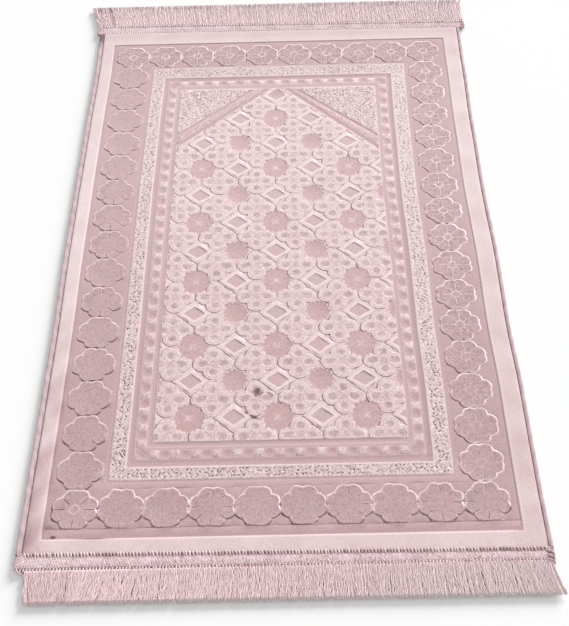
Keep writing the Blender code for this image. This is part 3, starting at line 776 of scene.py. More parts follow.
# %% [markdown]
# ## All of the carving
# The zones and the motifs are laid one over the other. The rim of the pile is rounded and
# darkened with painted shade where it meets the bindings and tapes, and the whole rug is darker
# towards the viewer: painted shade for the steeper look into the pile there.

# %% All of the carving
EDGE = (PILE_LEFT, PILE_RIGHT, NEAR_TAPE_INNER + GAP, FAR_TAPE_INNER - GAP)
EDGE_STEPS = (0.0, 0.0004, 0.0012, 0.0030)
EDGE_ROUND = 0.0011
SWELLING = 0.00006          # height of the pile's slow, soft waves


def round_and_shade_rim(pile, u, v, edge):
    """The pile's rim is rounded, and darkened with painted shade where it meets the bindings and tapes."""
    rim_closeness = 1 - np.clip(edge / EDGE_STEPS[-1], 0, 1)
    pile.z -= EDGE_ROUND * (1 - np.sqrt(np.clip(1 - rim_closeness ** 2, 0, 1)))
    # painted shade along the rim, where the pile meets the bindings and tapes; weaker along most of the left
    # side
    rim_shade = np.where(v < EDGE[2] + EDGE_STEPS[-1], 0.34, 0.26 + 0.10 * stroke(0.0, v, 0.03))
    left_rim_shade = 0.25 + 0.75 * ease(0.02, -0.10, v) * ease(-0.52, -0.42, v)
    pile.lustre -= rim_shade * np.where(u < EDGE[0] + EDGE_STEPS[-1], left_rim_shade, 1.0) * ease(0.5, 1.0, rim_closeness)


def darken_ends_and_borders(pile, u, v, edge):
    """The pile is darker at the far end, darker towards the viewer as painted shade, and patchy along the
    borders.
    """
    border = ease(0.030, 0.020, edge)
    left, right = ease(-0.29, -0.31, u), ease(0.29, 0.31, u)
    pile.lustre -= 0.120 * ease(0.525, 0.540, v) + 0.045 * ease(0.36, 0.46, v)
    border_patches = border * (0.25 + ease(-0.05, -0.35, v) * left + 0.3 * right)
    # painted shade that deepens towards the viewer, for the steeper look into the pile; uneven darker patches
    # along the borders
    pile.lustre -= 0.100 * ease(0.30, -0.45, v) + border_patches * (0.06 + 0.11 * stroke(u, v, 0.013))
    pile.lustre += border * (0.05 * left * ease(0.35, 0.05, np.abs(v)) - 0.05 * right * ease(-0.15, -0.50, v))
    pile.lustre -= 0.26 * left * ease(0.022, 0.004, u - EDGE[0]) * ease(-0.38, -0.52, v)


def carve(u, v):
    """Everything together, for arrays of points."""
    pile = Pile(len(u))
    for work in (plain_zones, flowers, guard_stripe, field_motifs, stains):
        work(pile, u, v)
    edge = np.minimum(np.minimum(u - EDGE[0], EDGE[1] - u), np.minimum(v - EDGE[2], EDGE[3] - v))
    round_and_shade_rim(pile, u, v, edge)
    darken_ends_and_borders(pile, u, v, edge)
    pile.z += SWELLING * np.sin(u * 61 + 2 * np.sin(v * 23)) * np.sin(v * 47 + 1.7 * np.sin(u * 31))
    return pile


test = carve(np.array([0.0, 0.33]), np.array([0.0, 0.0]))
print("heights in mm at the middle and on the pale border:", (test.z * 1e3).round(2))

# %% [markdown]
# ## Where the mesh needs points
# A plain grid fine enough for the thinnest cut would have millions of faces. Instead, loops of
# points follow each outline, one loop for each row of its table. Blender's constrained
# triangulation then fills the face between them, and flat areas stay coarse.


# %% Loops of points
class Loops:
    """Points and edges, collected before the triangulation."""

    def __init__(self):
        self.points, self.edges, self.index = [], [], {}

    def point(self, u, v):
        key = point_key(u, v)
        if key not in self.index:
            self.index[key] = len(self.points)
            self.points.append((u, v))
        return self.index[key]

    def line(self, points):
        found = [self.point(u, v) for u, v in points]
        self.edges += [(a, b) for a, b in zip(found, found[1:]) if a != b]
        return found

    def loop(self, points):
        return self.line(list(points) + [points[0]])


def point_key(u, v):
    """Points closer than a few microns count as one."""
    return round(u * 2e5), round(v * 2e5)


def spread(start, stop, pitch):
    """Even steps from start to stop, no wider than pitch."""
    count = max(2, math.ceil(abs(stop - start) / pitch) + 1)
    return [start + (stop - start) * i / (count - 1) for i in range(count)]


def rectangle(left, right, near, far, pitch):
    across, along = spread(left, right, pitch), spread(near, far, pitch)
    return ([(u, near) for u in across[:-1]] + [(right, v) for v in along[:-1]]
            + [(u, far) for u in across[:0:-1]] + [(left, v) for v in along[:0:-1]])


LOOP_PITCH = 0.018
loops = Loops()
for d in EDGE_STEPS:
    loops.loop(rectangle(EDGE[0] + d, EDGE[1] - d, EDGE[2] + d, EDGE[3] - d, LOOP_PITCH))
for zone, offsets in PLAIN_OFFSETS.items():
    middle, half, near, far = ZONES[zone]
    for d in (offset * MM for offset in offsets):
        loops.loop(rectangle(middle - half + d, middle + half - d, near + d, far - d, LOOP_PITCH))
print("points after the plain zones:", len(loops.points))

# %% [markdown]
# ## Shapes as loops
# The outlines that are unions of circles are drawn circle by circle, and only the stretches
# that lie outside the other circles are kept. Everything else is a circle, or a few points that are
# turned and set in their place.


# %% Shapes as loops
OUTER_SHARE = 0.9           # of the circles' distance: what lies closer in is inside the shape


def ringed(centre, circles, radius, offset, steps):
    """The outline of a ring of equal circles, drawn in or out by offset, as one loop."""
    points = []
    r = radius + offset
    for cx, cy in circles:
        for t in np.linspace(-math.pi, math.pi, steps, endpoint=False):
            x, y = cx + r * math.cos(t), cy + r * math.sin(t)
            outside = math.hypot(x, y) > OUTER_SHARE * math.hypot(cx, cy)
            if outside and all(math.hypot(x - ox, y - oy) >= r - 1e-9 for ox, oy in circles):
                points.append((math.atan2(y, x), x, y))
    return [(centre[0] + x, centre[1] + y) for _, x, y in sorted(points)]


def circle(centre, radius_u, radius_v, steps):
    return [(centre[0] + radius_u * math.cos(t), centre[1] + radius_v * math.sin(t))
            for t in np.linspace(0, 2 * math.pi, steps, endpoint=False)]


def turned(centre, turn, points):
    """Points given as along and aside, turned and set round a centre."""
    c, s = math.cos(turn), math.sin(turn)
    return [(centre[0] + x * c - y * s, centre[1] + x * s + y * c) for x, y in points]


def radial_lines(centre, turns, places, asides):
    """Lines side by side along each direction from a centre."""
    for turn in turns:
        for aside in asides:
            loops.line(turned(centre, turn, [(r, aside) for r in places]))


print("a point 1 mm along, after a quarter turn:", np.round(turned((0, 0), math.pi / 2, [(MM, 0)]), 4))

# %% [markdown]
# ## Loops round the flowers
# Only the outermost flowers are woven. Each gets a loop for every row of its table, loops for its
# ring, and lines side by side for its petals or creases. Where two flowers meet, both stop at the
# line between them.

# %% Loops round the flowers
LOBES = [(LOBE_CENTRE * math.cos(q + s), LOBE_CENTRE * math.sin(q + s))
         for q in np.arange(4) * math.pi / 2 + math.pi / 4 for s in (-LOBE_SWING, LOBE_SWING)]
LOBE_STEPS, RING_STEPS = 19, 12
RIM_WIDER = 0.3             # how much farther a cell reaches at the band's rim
CUT_OFF_REACH = 0.315


def flower_loops(i, j):
    """All loops of one flower. Its outline is kept inside its cell, a little wider at the rim."""
    centre = [FLOWER_MIDDLE[k] + (n - (FLOWERS[k] - 1) / 2) * FLOWER_PITCH[k] for k, n in enumerate((i, j))]
    cell = [[c - p / 2 * (1 + RIM_WIDER * (n == 0)), c + p / 2 * (1 + RIM_WIDER * (n == count - 1))]
            for c, p, n, count in zip(centre, FLOWER_PITCH, (i, j), FLOWERS)]
    clear, corner = j > 0 and (i == FLOWERS[0] - 1 or j == FLOWERS[1] - 1), (i, j) == (0, 0)
    if j == 0:
        cell[1] = [CUT_OFF_LINE + THIN, TOP_LINE - THIN]
    for offset in steps_of(FLOWER_EDGE):
        outline = ringed(centre, LOBES, LOBE_RADIUS, offset, LOBE_STEPS)
        loops.loop([tuple(min(max(a, low), high) for a, (low, high) in zip(p, cell)) for p in outline])
    if clear or corner:
        for r in (EYE_RING - EYE_WIDTH, EYE_RING, EYE_RING + EYE_WIDTH):
            loops.loop(circle(centre, r, r, RING_STEPS))
    turns = np.arange(8) * math.pi / 4
    if clear:
        radial_lines(centre, turns, SPOKE_PLACES, (-SPOKE_WIDTH, 0.0, SPOKE_WIDTH, 2 * SPOKE_WIDTH))
    else:
        places = (LONG_CREASE_START,) + CREASE_PLACES if corner else CREASE_PLACES
        creased = [turn for n, turn in enumerate(turns) if corner or crease_depth(i, j, n) > 0]
        radial_lines(centre, creased, places, (-CREASE_WIDTH, 0.0, CREASE_WIDTH, 2 * CREASE_WIDTH))


for i in range(FLOWERS[0]):
    for j in range(FLOWERS[1]):
        if i in (0, FLOWERS[0] - 1) or j in (0, FLOWERS[1] - 1):
            flower_loops(i, j)
for line_v, reach in ((CUT_OFF_LINE, CUT_OFF_REACH), (TOP_LINE, TOP_LINE_REACH)):
    for d in (-THIN, 0.0, THIN):
        loops.line([(u, line_v + d) for u in spread(-reach, reach, LOOP_PITCH)])
print("points after the flowers:", len(loops.points))

# %% [markdown]
# ## The field's outline
# The lattice runs on past the field. A loop that reaches out of the field, or over the arch, is
# clipped: each side of the outline in turn cuts off what lies outside it.


# %% Outline of the field
def field_outline(inset):
    """The field under the arch, as a convex outline drawn in by inset."""
    middle, half, near, far = ZONES["field"]
    left, right, near = middle - half + inset, middle + half - inset, near + inset
    corners = [(left, near), (right, near)]
    for (start, slope, side), edge in zip(ARCH_LINES["inner"][::-1], (right, left)):
        top = far - inset * math.hypot(1, slope)
        corners.append((edge, top - slope * side * (edge - start)))
    (a, sa, _), (b, sb, _) = ARCH_LINES["inner"]
    a, b = a + inset * math.hypot(1, sa) / sa, b - inset * math.hypot(1, sb) / sb
    tips = [(b, far - 1e-4), (a, far - 1e-4)]
    return corners[:3] + tips + corners[3:]


def clipped(loop, region):
    """The part of a loop inside a convex, counter-clockwise region."""
    for (au, av), (bu, bv) in zip(region, region[1:] + region[:1]):
        kept, sides = [], [(bu - au) * (p[1] - av) - (bv - av) * (p[0] - au) for p in loop]
        for here, there, s0, s1 in zip(loop, loop[1:] + loop[:1], sides, sides[1:] + sides[:1]):
            if s0 >= 0.0:
                kept.append(here)
            if s0 * s1 < 0.0:
                t = s0 / (s0 - s1)
                kept.append((here[0] + (there[0] - here[0]) * t, here[1] + (there[1] - here[1]) * t))
        loop = kept
        if not loop:
            break
    return loop


REGION = field_outline(0.0004)


def field_loop(points):
    kept = clipped(points, REGION)
    if len(kept) > 2:
        loops.loop(kept)


print("corners of the field's outline:", len(REGION))

# %% [markdown]
# ## Loops of the lozenges, stars and quatrefoils
# Each motif gets a loop for every row of its table. The small ring of a quatrefoil's hole needs
# fewer points than the outline round it.


# %% Loops of the lattice
LATTICE_ROWS, LATTICE_COLUMNS = range(-2, 12), range(-3, 4)
RAY_LOOPS, RAY_STEPS, QUATREFOIL_STEPS = (0.0022, 0.0048, 0.0072), 32, 18
RINGS = [(RING_OFFSET * math.cos(q), RING_OFFSET * math.sin(q)) for q in np.arange(4) * math.pi / 2]
CROSS_ASIDES = (-CROSS_OFFSET - CROSS_WIDTH, -CROSS_OFFSET, CROSS_OFFSET, CROSS_OFFSET + CROSS_WIDTH)
CLEAR_OF_EDGE = 0.001
SPOT_SHARES = (0.02, 0.45, 0.75, 1.0)


def lozenge_loop(centre, half, grow, steps):
    """A lozenge's outline drawn outwards by grow, each side in equal steps."""
    a, b = half
    wider = 1 + grow * math.hypot(a, b) / (a * b)
    a, b = a * wider, b * wider
    corners = [(a, 0), (0, b), (-a, 0), (0, -b), (a, 0)]
    return [(centre[0] + p[0] + (q[0] - p[0]) * k / steps, centre[1] + p[1] + (q[1] - p[1]) * k / steps)
            for p, q in zip(corners, corners[1:]) for k in range(steps)]


def lozenge_loops(centre):
    for half, rows, steps in ((FRAME_HALF, MOTIF_EDGE, 4), (HOLE_HALF, LOZENGE_HOLE, 3)):
        for grow in steps_of(rows):
            field_loop(lozenge_loop(centre, half, grow, steps))


def star_loops(centre, large):
    reach_u, reach_v = STARS[large]
    for grow in (-STAR_EDGE, STAR_EDGE):
        share = [(t, star_reach(t) + grow / reach_u)
                 for t in np.arange(2 * STAR_SPIKES) * math.pi / STAR_SPIKES]
        field_loop([(centre[0] + reach_u * r * math.cos(t), centre[1] + reach_v * r * math.sin(t))
                    for t, r in share])
    if large:
        for r in RAY_LOOPS:
            field_loop(circle(centre, r, r, RAY_STEPS))


def quatrefoil_loops(centre):
    for offset in steps_of(MOTIF_EDGE):
        field_loop(ringed(centre, RINGS, RING_RADIUS, offset, QUATREFOIL_STEPS))
    for cx, cy in RINGS:
        a, b = RING_HOLES[abs(cy) < abs(cx)]
        for grow in steps_of(RING_HOLE):
            wider = 1 + grow / min(a, b)
            steps = 10 if grow > -0.003 else 6      # the loop in the hole's middle is small
            field_loop(circle((centre[0] + cx, centre[1] + cy), a * wider, b * wider, steps))
    for turn in np.arange(4) * math.pi / 2 + math.pi / 4:
        for aside in CROSS_ASIDES:
            line = turned(centre, turn, [(r, aside) for r in CROSS_PLACES])
            if all(above_arch(u, v, "inner") < -CLEAR_OF_EDGE and box_depth(u, v, "field") > CLEAR_OF_EDGE
                   for u, v in line):
                loops.line(line)


for row in LATTICE_ROWS:
    for column in LATTICE_COLUMNS:
        centre = (LATTICE_MIDDLE + column * LATTICE_PITCH[0], LATTICE_TOP_ROW - row * LATTICE_PITCH[1])
        if (column + row) % 2:
            lozenge_loops(centre)
        else:
            star_loops(centre, row % 2 == 0)
        quatrefoil_loops((centre[0] + LATTICE_PITCH[0] / 2, centre[1] - LATTICE_PITCH[1] / 2))
for stain_u, stain_v, long, wide, turn, _ in STAINS:
    for share in SPOT_SHARES:
        spot = circle((0.0, 0.0), long * share, wide * share, 12)
        loops.loop(turned((stain_u, stain_v), math.radians(turn), spot))
print("points after the field:", len(loops.points))

# %% [markdown]
# ## Loops of the arch, the ovals and the bows
# The arch's lines run down both diagonals. The guard stripe's ovals and bows stand on its middle
# line.

# %% Arch, ovals and bows
ARCH_STEPS = {"outer": (-0.0052, -0.0038, -0.0007, 0.0007), "inner": (-0.0010, 0.0004, 0.0059, 0.0073)}
ARCH_PITCH = 0.005
OVAL_STEPS, BOW_STEPS = (-0.0005, 0.0005, 0.0018), (-0.0006, 0.0006)
for line, offsets in ARCH_STEPS.items():
    for start_u, slope, side in ARCH_LINES[line]:
        edge = ZONES["field"][0] + side * (ZONES["field"][1] - 0.0009)
        for d in offsets:
            shift = d * math.hypot(1, slope)
            us = spread(edge, start_u - side * max(0.0, -shift) / slope, ARCH_PITCH)
            points = [(u, FAR_EDGE + shift - slope * side * (u - start_u)) for u in us]
            loops.line([p for p in points if p[1] < FAR_EDGE - 0.0008])


def oval_and_bow_loops(cu, cv, along_v, spacing):
    """Loops of one oval and the bow past it; along_v says which way the stripe runs."""
    def place(along, across):
        return (cu + across, cv + along) if along_v else (cu + along, cv + across)
    for grow in OVAL_STEPS:
        wider = 1 + grow / OVAL_ACROSS
        loops.loop([place(OVAL_ALONG * wider * math.cos(t), OVAL_ACROSS * wider * math.sin(t))
                    for t in np.arange(12) * math.pi / 6])
    for grow in BOW_STEPS:
        w, reach = BOW_WAIST + grow, BOW_REACH + grow
        broad = w + BOW_SPREAD * reach
        corners = [(broad, reach), (w, 0), (broad, -reach), (-broad, -reach), (-w, 0), (-broad, reach)]
        loops.loop([place(spacing / 2 + a, b) for a, b in corners])


g_middle, g_half, g_near, g_far = ZONES["guard"]
ovals = 0
for along_v, length, middle in ((True, g_far - g_near, (g_near + g_far) / 2), (False, 2 * g_half, g_middle)):
    count = round(length / OVAL_SPACING)
    for k in range(count):
        run = middle + (k + 0.5 - count / 2) * length / count
        if along_v:
            places = [(g_middle + s * (g_half - STRIPE_MIDDLE), run) for s in (-1, 1)]
        else:
            places = [(run, g_near + STRIPE_MIDDLE), (run, g_far - STRIPE_MIDDLE)]
        for cu, cv in places:
            oval_and_bow_loops(cu, cv, along_v, length / count)
            ovals += 1
print("ovals:", ovals, "- points so far:", len(loops.points))

# %% [markdown]
# ## Specks
# The speckled ground has hundreds of short dark cuts. Each is a small leaf shape, a few
# millimetres long, turned one way or the other. The cuts come from a seeded random generator,
# so that every run gives the same rug.

# %% Specks
random = np.random.default_rng(41)
SPECK_PITCH = (0.0061, 0.0054)
SPECK_TURNS = (-50, 48, -62, 30)
SPECK_CLEAR = 0.0035        # how far a speck's middle keeps from the zone's edge
speck_strength = {}


def speck(u, v, turn, length, width, strength):
    """One cut: a leaf that goes down by its strength, and a lozenge round it, where the pile is whole."""
    a, b = length / 2, width / 2
    inner = turned((u, v), turn, [(a, 0), (0.2 * a, b), (-a, 0), (-0.2 * a, -b)])
    a, b = a + 0.0006, b + 0.0005
    outer = turned((u, v), turn, [(a, 0), (0, b), (-a, 0), (0, -b)])
    for k in loops.loop(inner):
        speck_strength[k] = strength
    loops.loop(outer)


specks = 0
for gu in np.arange(-0.236, 0.236, SPECK_PITCH[0]):
    for gv in np.arange(-0.466, 0.441, SPECK_PITCH[1]):
        u, v = gu + random.uniform(-0.0022, 0.0022), gv + random.uniform(-0.0016, 0.0016)
        turn = math.radians(random.choice(SPECK_TURNS) + random.uniform(-14, 14))
        length, width = random.uniform(0.0034, 0.0070), random.uniform(0.0009, 0.0016)
        strength = random.uniform(0.1, 1.0)
        in_band = box_depth(u, v, "speckled") > SPECK_CLEAR and box_depth(u, v, "outer line") < -SPECK_CLEAR
        in_corner = above_arch(u, v, "outer") > SPECK_CLEAR and box_depth(u, v, "field") > SPECK_CLEAR
        if in_band or in_corner:
            strong = 0.75 + 0.35 * float(ease(0.3, -0.3, v)) - (0.10 if in_corner else 0.0)
            speck(u, v, turn, length, width, strength * strong)
            specks += 1
print(specks, "specks; points:", len(loops.points))

# %% [markdown]
# ## Helpers for meshes
# Every piece of the rug is made in the same way: a mesh, an object, a link to the rug's body and a
# slot for its material. The triangulation leaves out slivers and turns every face upwards.


# %% Helpers for meshes
def new_piece(name, verts, faces, material=None, slot=None, smooth=True):
    """A mesh object that rides on the rug's one body."""
    mesh = bpy.data.meshes.new(name)
    mesh.from_pydata([tuple(p) for p in verts], [], faces)
    mesh.validate()
    mesh.update()
    if smooth:
        mesh.polygons.foreach_set("use_smooth", [True] * len(mesh.polygons))
    if material:
        mesh.materials.append(material)
    piece = bpy.data.objects.new(name, mesh)
    bpy.context.scene.collection.objects.link(piece)
    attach(piece, "root")
    return piece


def set_values(piece, name, values):
    """A number for each vertex, which a material can read by name."""
    attribute = piece.data.attributes.new(name, "FLOAT", "POINT")
    attribute.data.foreach_set("value", np.asarray(values, np.float32))


def triangulate(points, edges):
    flat = [Vector(p) for p in points]
    found, _, faces, origin, _, _ = delaunay_2d_cdt(flat, edges, [], 0, 2e-6)
    out = []
    for face in faces:
        a, b, c = (found[i] for i in face)
        area = (b - a).cross(c - a)
        if abs(area) > 1e-12:
            out.append(tuple(face) if area > 0 else tuple(face[::-1]))
    return np.array([tuple(p) for p in found]), out, origin


print("a square is cut into", len(triangulate([(0, 0), (1, 0), (1, 1), (0, 1)], [])[1]), "triangles")

# %% [markdown]
# ## Filler points
# Filler points keep the triangles even and let the pile swell softly. They stay clear of every
# line and outline, because a point that lies close to one makes a sliver.

# %% Filler points
FILL, FILL_JITTER = 0.0120, 0.0012


def flat_here(u, v):
    """Whether a filler point would lie clear of every line, outline and edge."""
    _, _, x, y = nearest_flower(u, v)
    band = box_depth(u, v, "flower band")
    on_line = min(abs(v - CUT_OFF_LINE), abs(v - TOP_LINE)) < 0.0020
    near_outline = band > 0 and abs(float(flower_parts(x, y)[0]) + 0.0003) < 0.0034
    return not (on_line or near_outline or -0.0050 < band < 0.0030 or math.hypot(x, y) < 0.0260)


for gu in np.arange(PILE_LEFT + 0.004, PILE_RIGHT - 0.003, FILL):
    for gv in np.arange(NEAR_TAPE_INNER + 0.005, FAR_TAPE_INNER - 0.004, FILL):
        u, v = (g + random.uniform(-FILL_JITTER, FILL_JITTER) for g in (gu, gv))
        if box_depth(u, v, "speckled") < -0.0070 and flat_here(u, v):
            loops.point(u, v)
print("points in all:", len(loops.points))

# %% [markdown]
# ## The velvet panel's mesh
# No motif of a woven carpet is quite regular, so the flowers and the field's motifs are shifted
# sideways by a fraction of a millimetre. After the triangulation, the rim drops as a wall to the
# woven ground, and a flat face closes the panel underneath, so it is a solid sheet and not a bare
# skin.

# %% Velvet panel
PANEL_BOTTOM = 0.0016
SPECK_DEPTH = 0.00030
SWAY = 0.00042
SWAY_ALONG = (0.0047, 0.0110, 0.0053, 0.0071, 0.0013, 0.0070)
SWAY_ACROSS = (0.0043, 0.0120, 0.0057, -0.0067, 0.0014, 0.0080)
UNDERSIDE = {"lustre": 0.4, "grain": 0.2, "blush": 0.5}


def wander(a, b, sizes):
    """Three waves laid over one another, each bent by a size of its own, so that none repeats."""
    return (np.sin(a / sizes[0] + 1.9 * np.sin(b / sizes[1])) + 0.7 * np.sin(b / sizes[2] + a / sizes[3])
            + 0.8 * np.sin(a / sizes[4] + 2.5 * np.sin(b / sizes[5])))


def uneven(u, v):
    """Small sideways shifts of the flowers and of the field's motifs, as in any woven carpet."""
    band = box_depth(u, v, "flower band")
    share = (ease(0.002, 0.008, band) * ease(-0.003, -0.010, box_depth(u, v, "speckled"))
             + ease(0.001, 0.006, box_depth(u, v, "field")) * ease(0.0, -0.006, above_arch(u, v, "inner")))
    return SWAY * share * wander(v, u, SWAY_ALONG), SWAY * share * wander(u, v, SWAY_ACROSS)


flat, faces, origin = triangulate(loops.points, loops.edges)
pile = carve(flat[:, 0], flat[:, 1])
for k, sources in enumerate(origin):
    cut = [speck_strength[s] for s in sources if s in speck_strength]
    if cut:
        pile.z[k] -= SPECK_DEPTH * cut[0]
        pile.lustre[k] -= cut[0]
shift_u, shift_v = uneven(flat[:, 0], flat[:, 1])
top = as_it_lies(flat[:, 0] + shift_u, flat[:, 1] + shift_v, pile.z)

rim_uv = rectangle(*EDGE, LOOP_PITCH)
key_of = {point_key(u, v): k for k, (u, v) in enumerate(flat)}
rim = [key_of[point_key(u, v)] for u, v in rim_uv]
base = len(top)
bottom = as_it_lies(*np.array(rim_uv).T, PANEL_BOTTOM)
under, under_faces, under_origin = triangulate(rim_uv, [])
steps = [(k, (k + 1) % len(rim)) for k in range(len(rim))]
wall = [(base + following, rim[following], rim[k], base + k) for k, following in steps]
back = [tuple(base + under_origin[i][0] for i in face[::-1]) for face in under_faces]
velvet_panel = new_piece("velvet_panel", np.vstack([top, bottom]), faces + wall + back, slot="velvet_pile")
for name, value in UNDERSIDE.items():
    set_values(velvet_panel, name, np.concatenate([getattr(pile, name), np.full(len(bottom), value)]))
print("velvet panel:", len(velvet_panel.data.vertices), "points,",
      sum(len(p.vertices) - 2 for p in velvet_panel.data.polygons), "triangles")

# %% [markdown]
# ## Colours
# The colours in this lesson are written as they look on a screen. A shader works with amounts of
# light, and half the light looks far brighter than the middle grey of a screen.


# %% Colours
def srgb(r, g, b):
    """A colour as seen on a screen, 0 to 255, turned to the light values that shaders use."""
    return tuple((c / 255 / 12.92 if c <= 10 else ((c / 255 + 0.055) / 1.055) ** 2.4)
                 for c in (r, g, b)) + (1.0,)


print("middle grey as light:", round(srgb(128, 128, 128)[0], 3))

# %% [markdown]
# ## Helpers for materials
# A material is a tree of small nodes, each of which does one thing: a noise, a sum, a ramp. This
# class adds the nodes and wires them, so that a material below reads like a sum on paper.


# %% Helpers for materials
class Nodes:
    """Adds shader nodes and wires them: an input that is given a node's output is linked."""

    def __init__(self, name, roughness, sheen=0.0, specular=0.3):
        self.material = bpy.data.materials.new(name)
        self.material.use_nodes = True
        self.tree = self.material.node_tree
        self.shader = shader_of(self.material)
        for socket, value in (("Roughness", roughness), ("Sheen Weight", sheen),
                              ("Sheen Roughness", 0.45), ("Specular IOR Level", specular)):
            self.shader.inputs[socket].default_value = value

    def add(self, kind, inputs=(), **settings):
        made = self.tree.nodes.new("ShaderNode" + kind)
        for name, value in settings.items():
            setattr(made, name, value)
        for key, value in dict(inputs).items():
            if isinstance(value, bpy.types.NodeSocket):
                self.tree.links.new(value, made.inputs[key])
            else:
                made.inputs[key].default_value = value
        return made

    def calculate(self, operation, *values):
        return self.add("Math", dict(enumerate(values)), operation=operation).outputs[0]

    def sum(self, a, b, factor):
        """a + (b - 0.5) * factor"""
        return self.calculate("MULTIPLY_ADD", self.calculate("SUBTRACT", b, 0.5), factor, a)

    def rescale(self, value, low, high, start=0.0, end=1.0):
        """A value from low to high is moved to start to end."""
        values = {"Value": value, "From Min": low, "From Max": high, "To Min": start, "To Max": end}
        return self.add("MapRange", values).outputs["Result"]

    def noise(self, place, scale, detail=2.0, distortion=0.0):
        values = {"Vector": place, "Scale": scale, "Detail": detail, "Distortion": distortion}
        return self.add("TexNoise", values).outputs["Fac"]

    def number(self, name):
        return self.add("Attribute", attribute_name=name).outputs["Fac"]

    def place(self, stretch=(1.0, 1.0, 1.0)):
        spot = self.add("TexCoord").outputs["Object"]
        return self.add("Mapping", {"Vector": spot, "Scale": stretch}).outputs["Vector"]

    def lines(self, turn, across, along, thin):
        """1 on thin lines that all run roughly one way, 0 between them."""
        values = {"Vector": self.add("TexCoord").outputs["Object"], "Rotation": (0, 0, turn),
                  "Scale": (across, along, 1.0)}
        place = self.add("Mapping", values, vector_type="TEXTURE").outputs["Vector"]
        centred = self.calculate("SUBTRACT", self.noise(place, 1.0, 1.0, 0.3), 0.5)
        return self.rescale(self.calculate("ABSOLUTE", centred), 0.0, thin, 1.0, 0.0)

    def ramp(self, value, places, colours):
        """A number turned into a colour, between screen colours that stand at places from 0 to 1."""
        made = self.add("ValToRGB", {"Fac": value})
        bar = made.color_ramp.elements
        while len(bar) < len(places):
            bar.new(0.5)
        for element, place, colour in zip(bar, places, colours):
            element.position, element.color = place, srgb(*colour)
        return made.outputs["Color"]

    def blend(self, factor, a, b):
        """Two colours mixed by a number. Inputs 6 and 7 of a mix node are its two colours."""
        made = self.add("Mix", {0: factor, 6: a, 7: b}, data_type="RGBA", blend_type="MIX")
        return made.outputs[2]

    def finish(self, colour, bump, strength, distance):
        self.tree.links.new(colour, self.shader.inputs["Base Color"])
        values = {"Height": bump, "Strength": strength, "Distance": distance}
        normal = self.add("Bump", values).outputs["Normal"]
        self.tree.links.new(normal, self.shader.inputs["Normal"])
        return self.material


print("what a material's helper can do:", ", ".join(k for k in vars(Nodes) if not k.startswith("_")))

# %% [markdown]
# ## Velvet as a material
# The lustre number of each point, which carries the painted shade and painted highlights of the
# carving, is turned into a colour by a ramp: deep mauve in the cuts, dusty rose where the pile
# stands, pale pink where it lies over. Noises make it cloth: fine fibres, small worm-like tufts and
# slanted cuts where the grain is rough, and wide soft patches where a hand has stroked the pile. A
# velvet's bright rim at a low angle is the shader's sheen.

# %% Velvet
RAMP_PLACES = (0.0, 0.28, 0.50, 0.84, 1.0)
GREYISH = ((112, 90, 94), (176, 148, 151), (204, 177, 178), (233, 215, 214), (246, 236, 234))
ROSY = ((112, 86, 91), (180, 145, 149), (209, 174, 176), (240, 213, 218), (251, 234, 238))
CUT_ACROSS, CUT_THIN = 0.0026, 0.05         # metres between the slanted cuts, and their share of that
CUT_LINES = ((40, 0.0100), (-42, 0.0090))   # turn in degrees, length


def velvet_material():
    cloth = Nodes("rose velvet", 0.82, sheen=0.25)
    place, grain = cloth.place(), cloth.number("grain")
    fibres = cloth.noise(place, 480.0, 3.0)
    tufts = cloth.noise(cloth.place((1.0, 0.72, 1.0)), 330.0, 3.0, 0.8)
    patches = cloth.noise(place, 11.0, 3.0, 0.4)
    ribs = cloth.add("TexWave", {"Vector": place, "Scale": 130.0, "Distortion": 1.5},
                     bands_direction="Y").outputs["Fac"]
    value = cloth.number("lustre")
    for part, factor in ((fibres, 0.34), (tufts, cloth.calculate("MULTIPLY", grain, 0.85)),
                         (patches, 0.10), (ribs, 0.02)):
        value = cloth.sum(value, part, factor)
    cuts = cloth.calculate("MAXIMUM", *(cloth.lines(math.radians(turn), CUT_ACROSS, long, CUT_THIN)
                                        for turn, long in CUT_LINES))
    cuts = cloth.calculate("MULTIPLY", cuts, cloth.rescale(cloth.noise(place, 190.0, 1.0), 0.42, 0.56))
    deep = cloth.calculate("MULTIPLY", cloth.calculate("POWER", grain, 2.0), -0.42)
    value = cloth.calculate("MULTIPLY_ADD", cuts, deep, value)
    blush = cloth.sum(cloth.number("blush"), cloth.noise(place, 38.0, 1.0), 0.9)
    greyish, rosy = (cloth.ramp(value, RAMP_PLACES, colours) for colours in (GREYISH, ROSY))
    rough = cloth.calculate("MULTIPLY_ADD", tufts, grain, fibres)
    return cloth.finish(cloth.blend(blush, greyish, rosy), rough, 0.35, 0.0006)


velvet_panel.data.materials.append(velvet_material())
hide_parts("rug_pile")
print("velvet has", len(velvet_panel.data.materials[0].node_tree.nodes), "nodes")

# %% [markdown]
# ## The woven ground
# Under the pile lies a firm plain weave, seen only from below. It runs under the tapes and into
# the side bindings as a thin edge, where all of them are sewn on. It is a closed sheet, with a
# weave of crossing ribs in its material, since its threads are finer than a millimetre.

# %% Woven ground
GROUND_HALF, GROUND_NEAR, GROUND_FAR = 0.3484, -0.5972, 0.5777
GROUND_PITCH, SIDE_STEP, END_STEP = 0.02, 0.0012, 0.002     # grid, width of its rise at sides and ends
WEAVE_COLOURS = ((166, 140, 141), (205, 183, 182), (224, 208, 206))


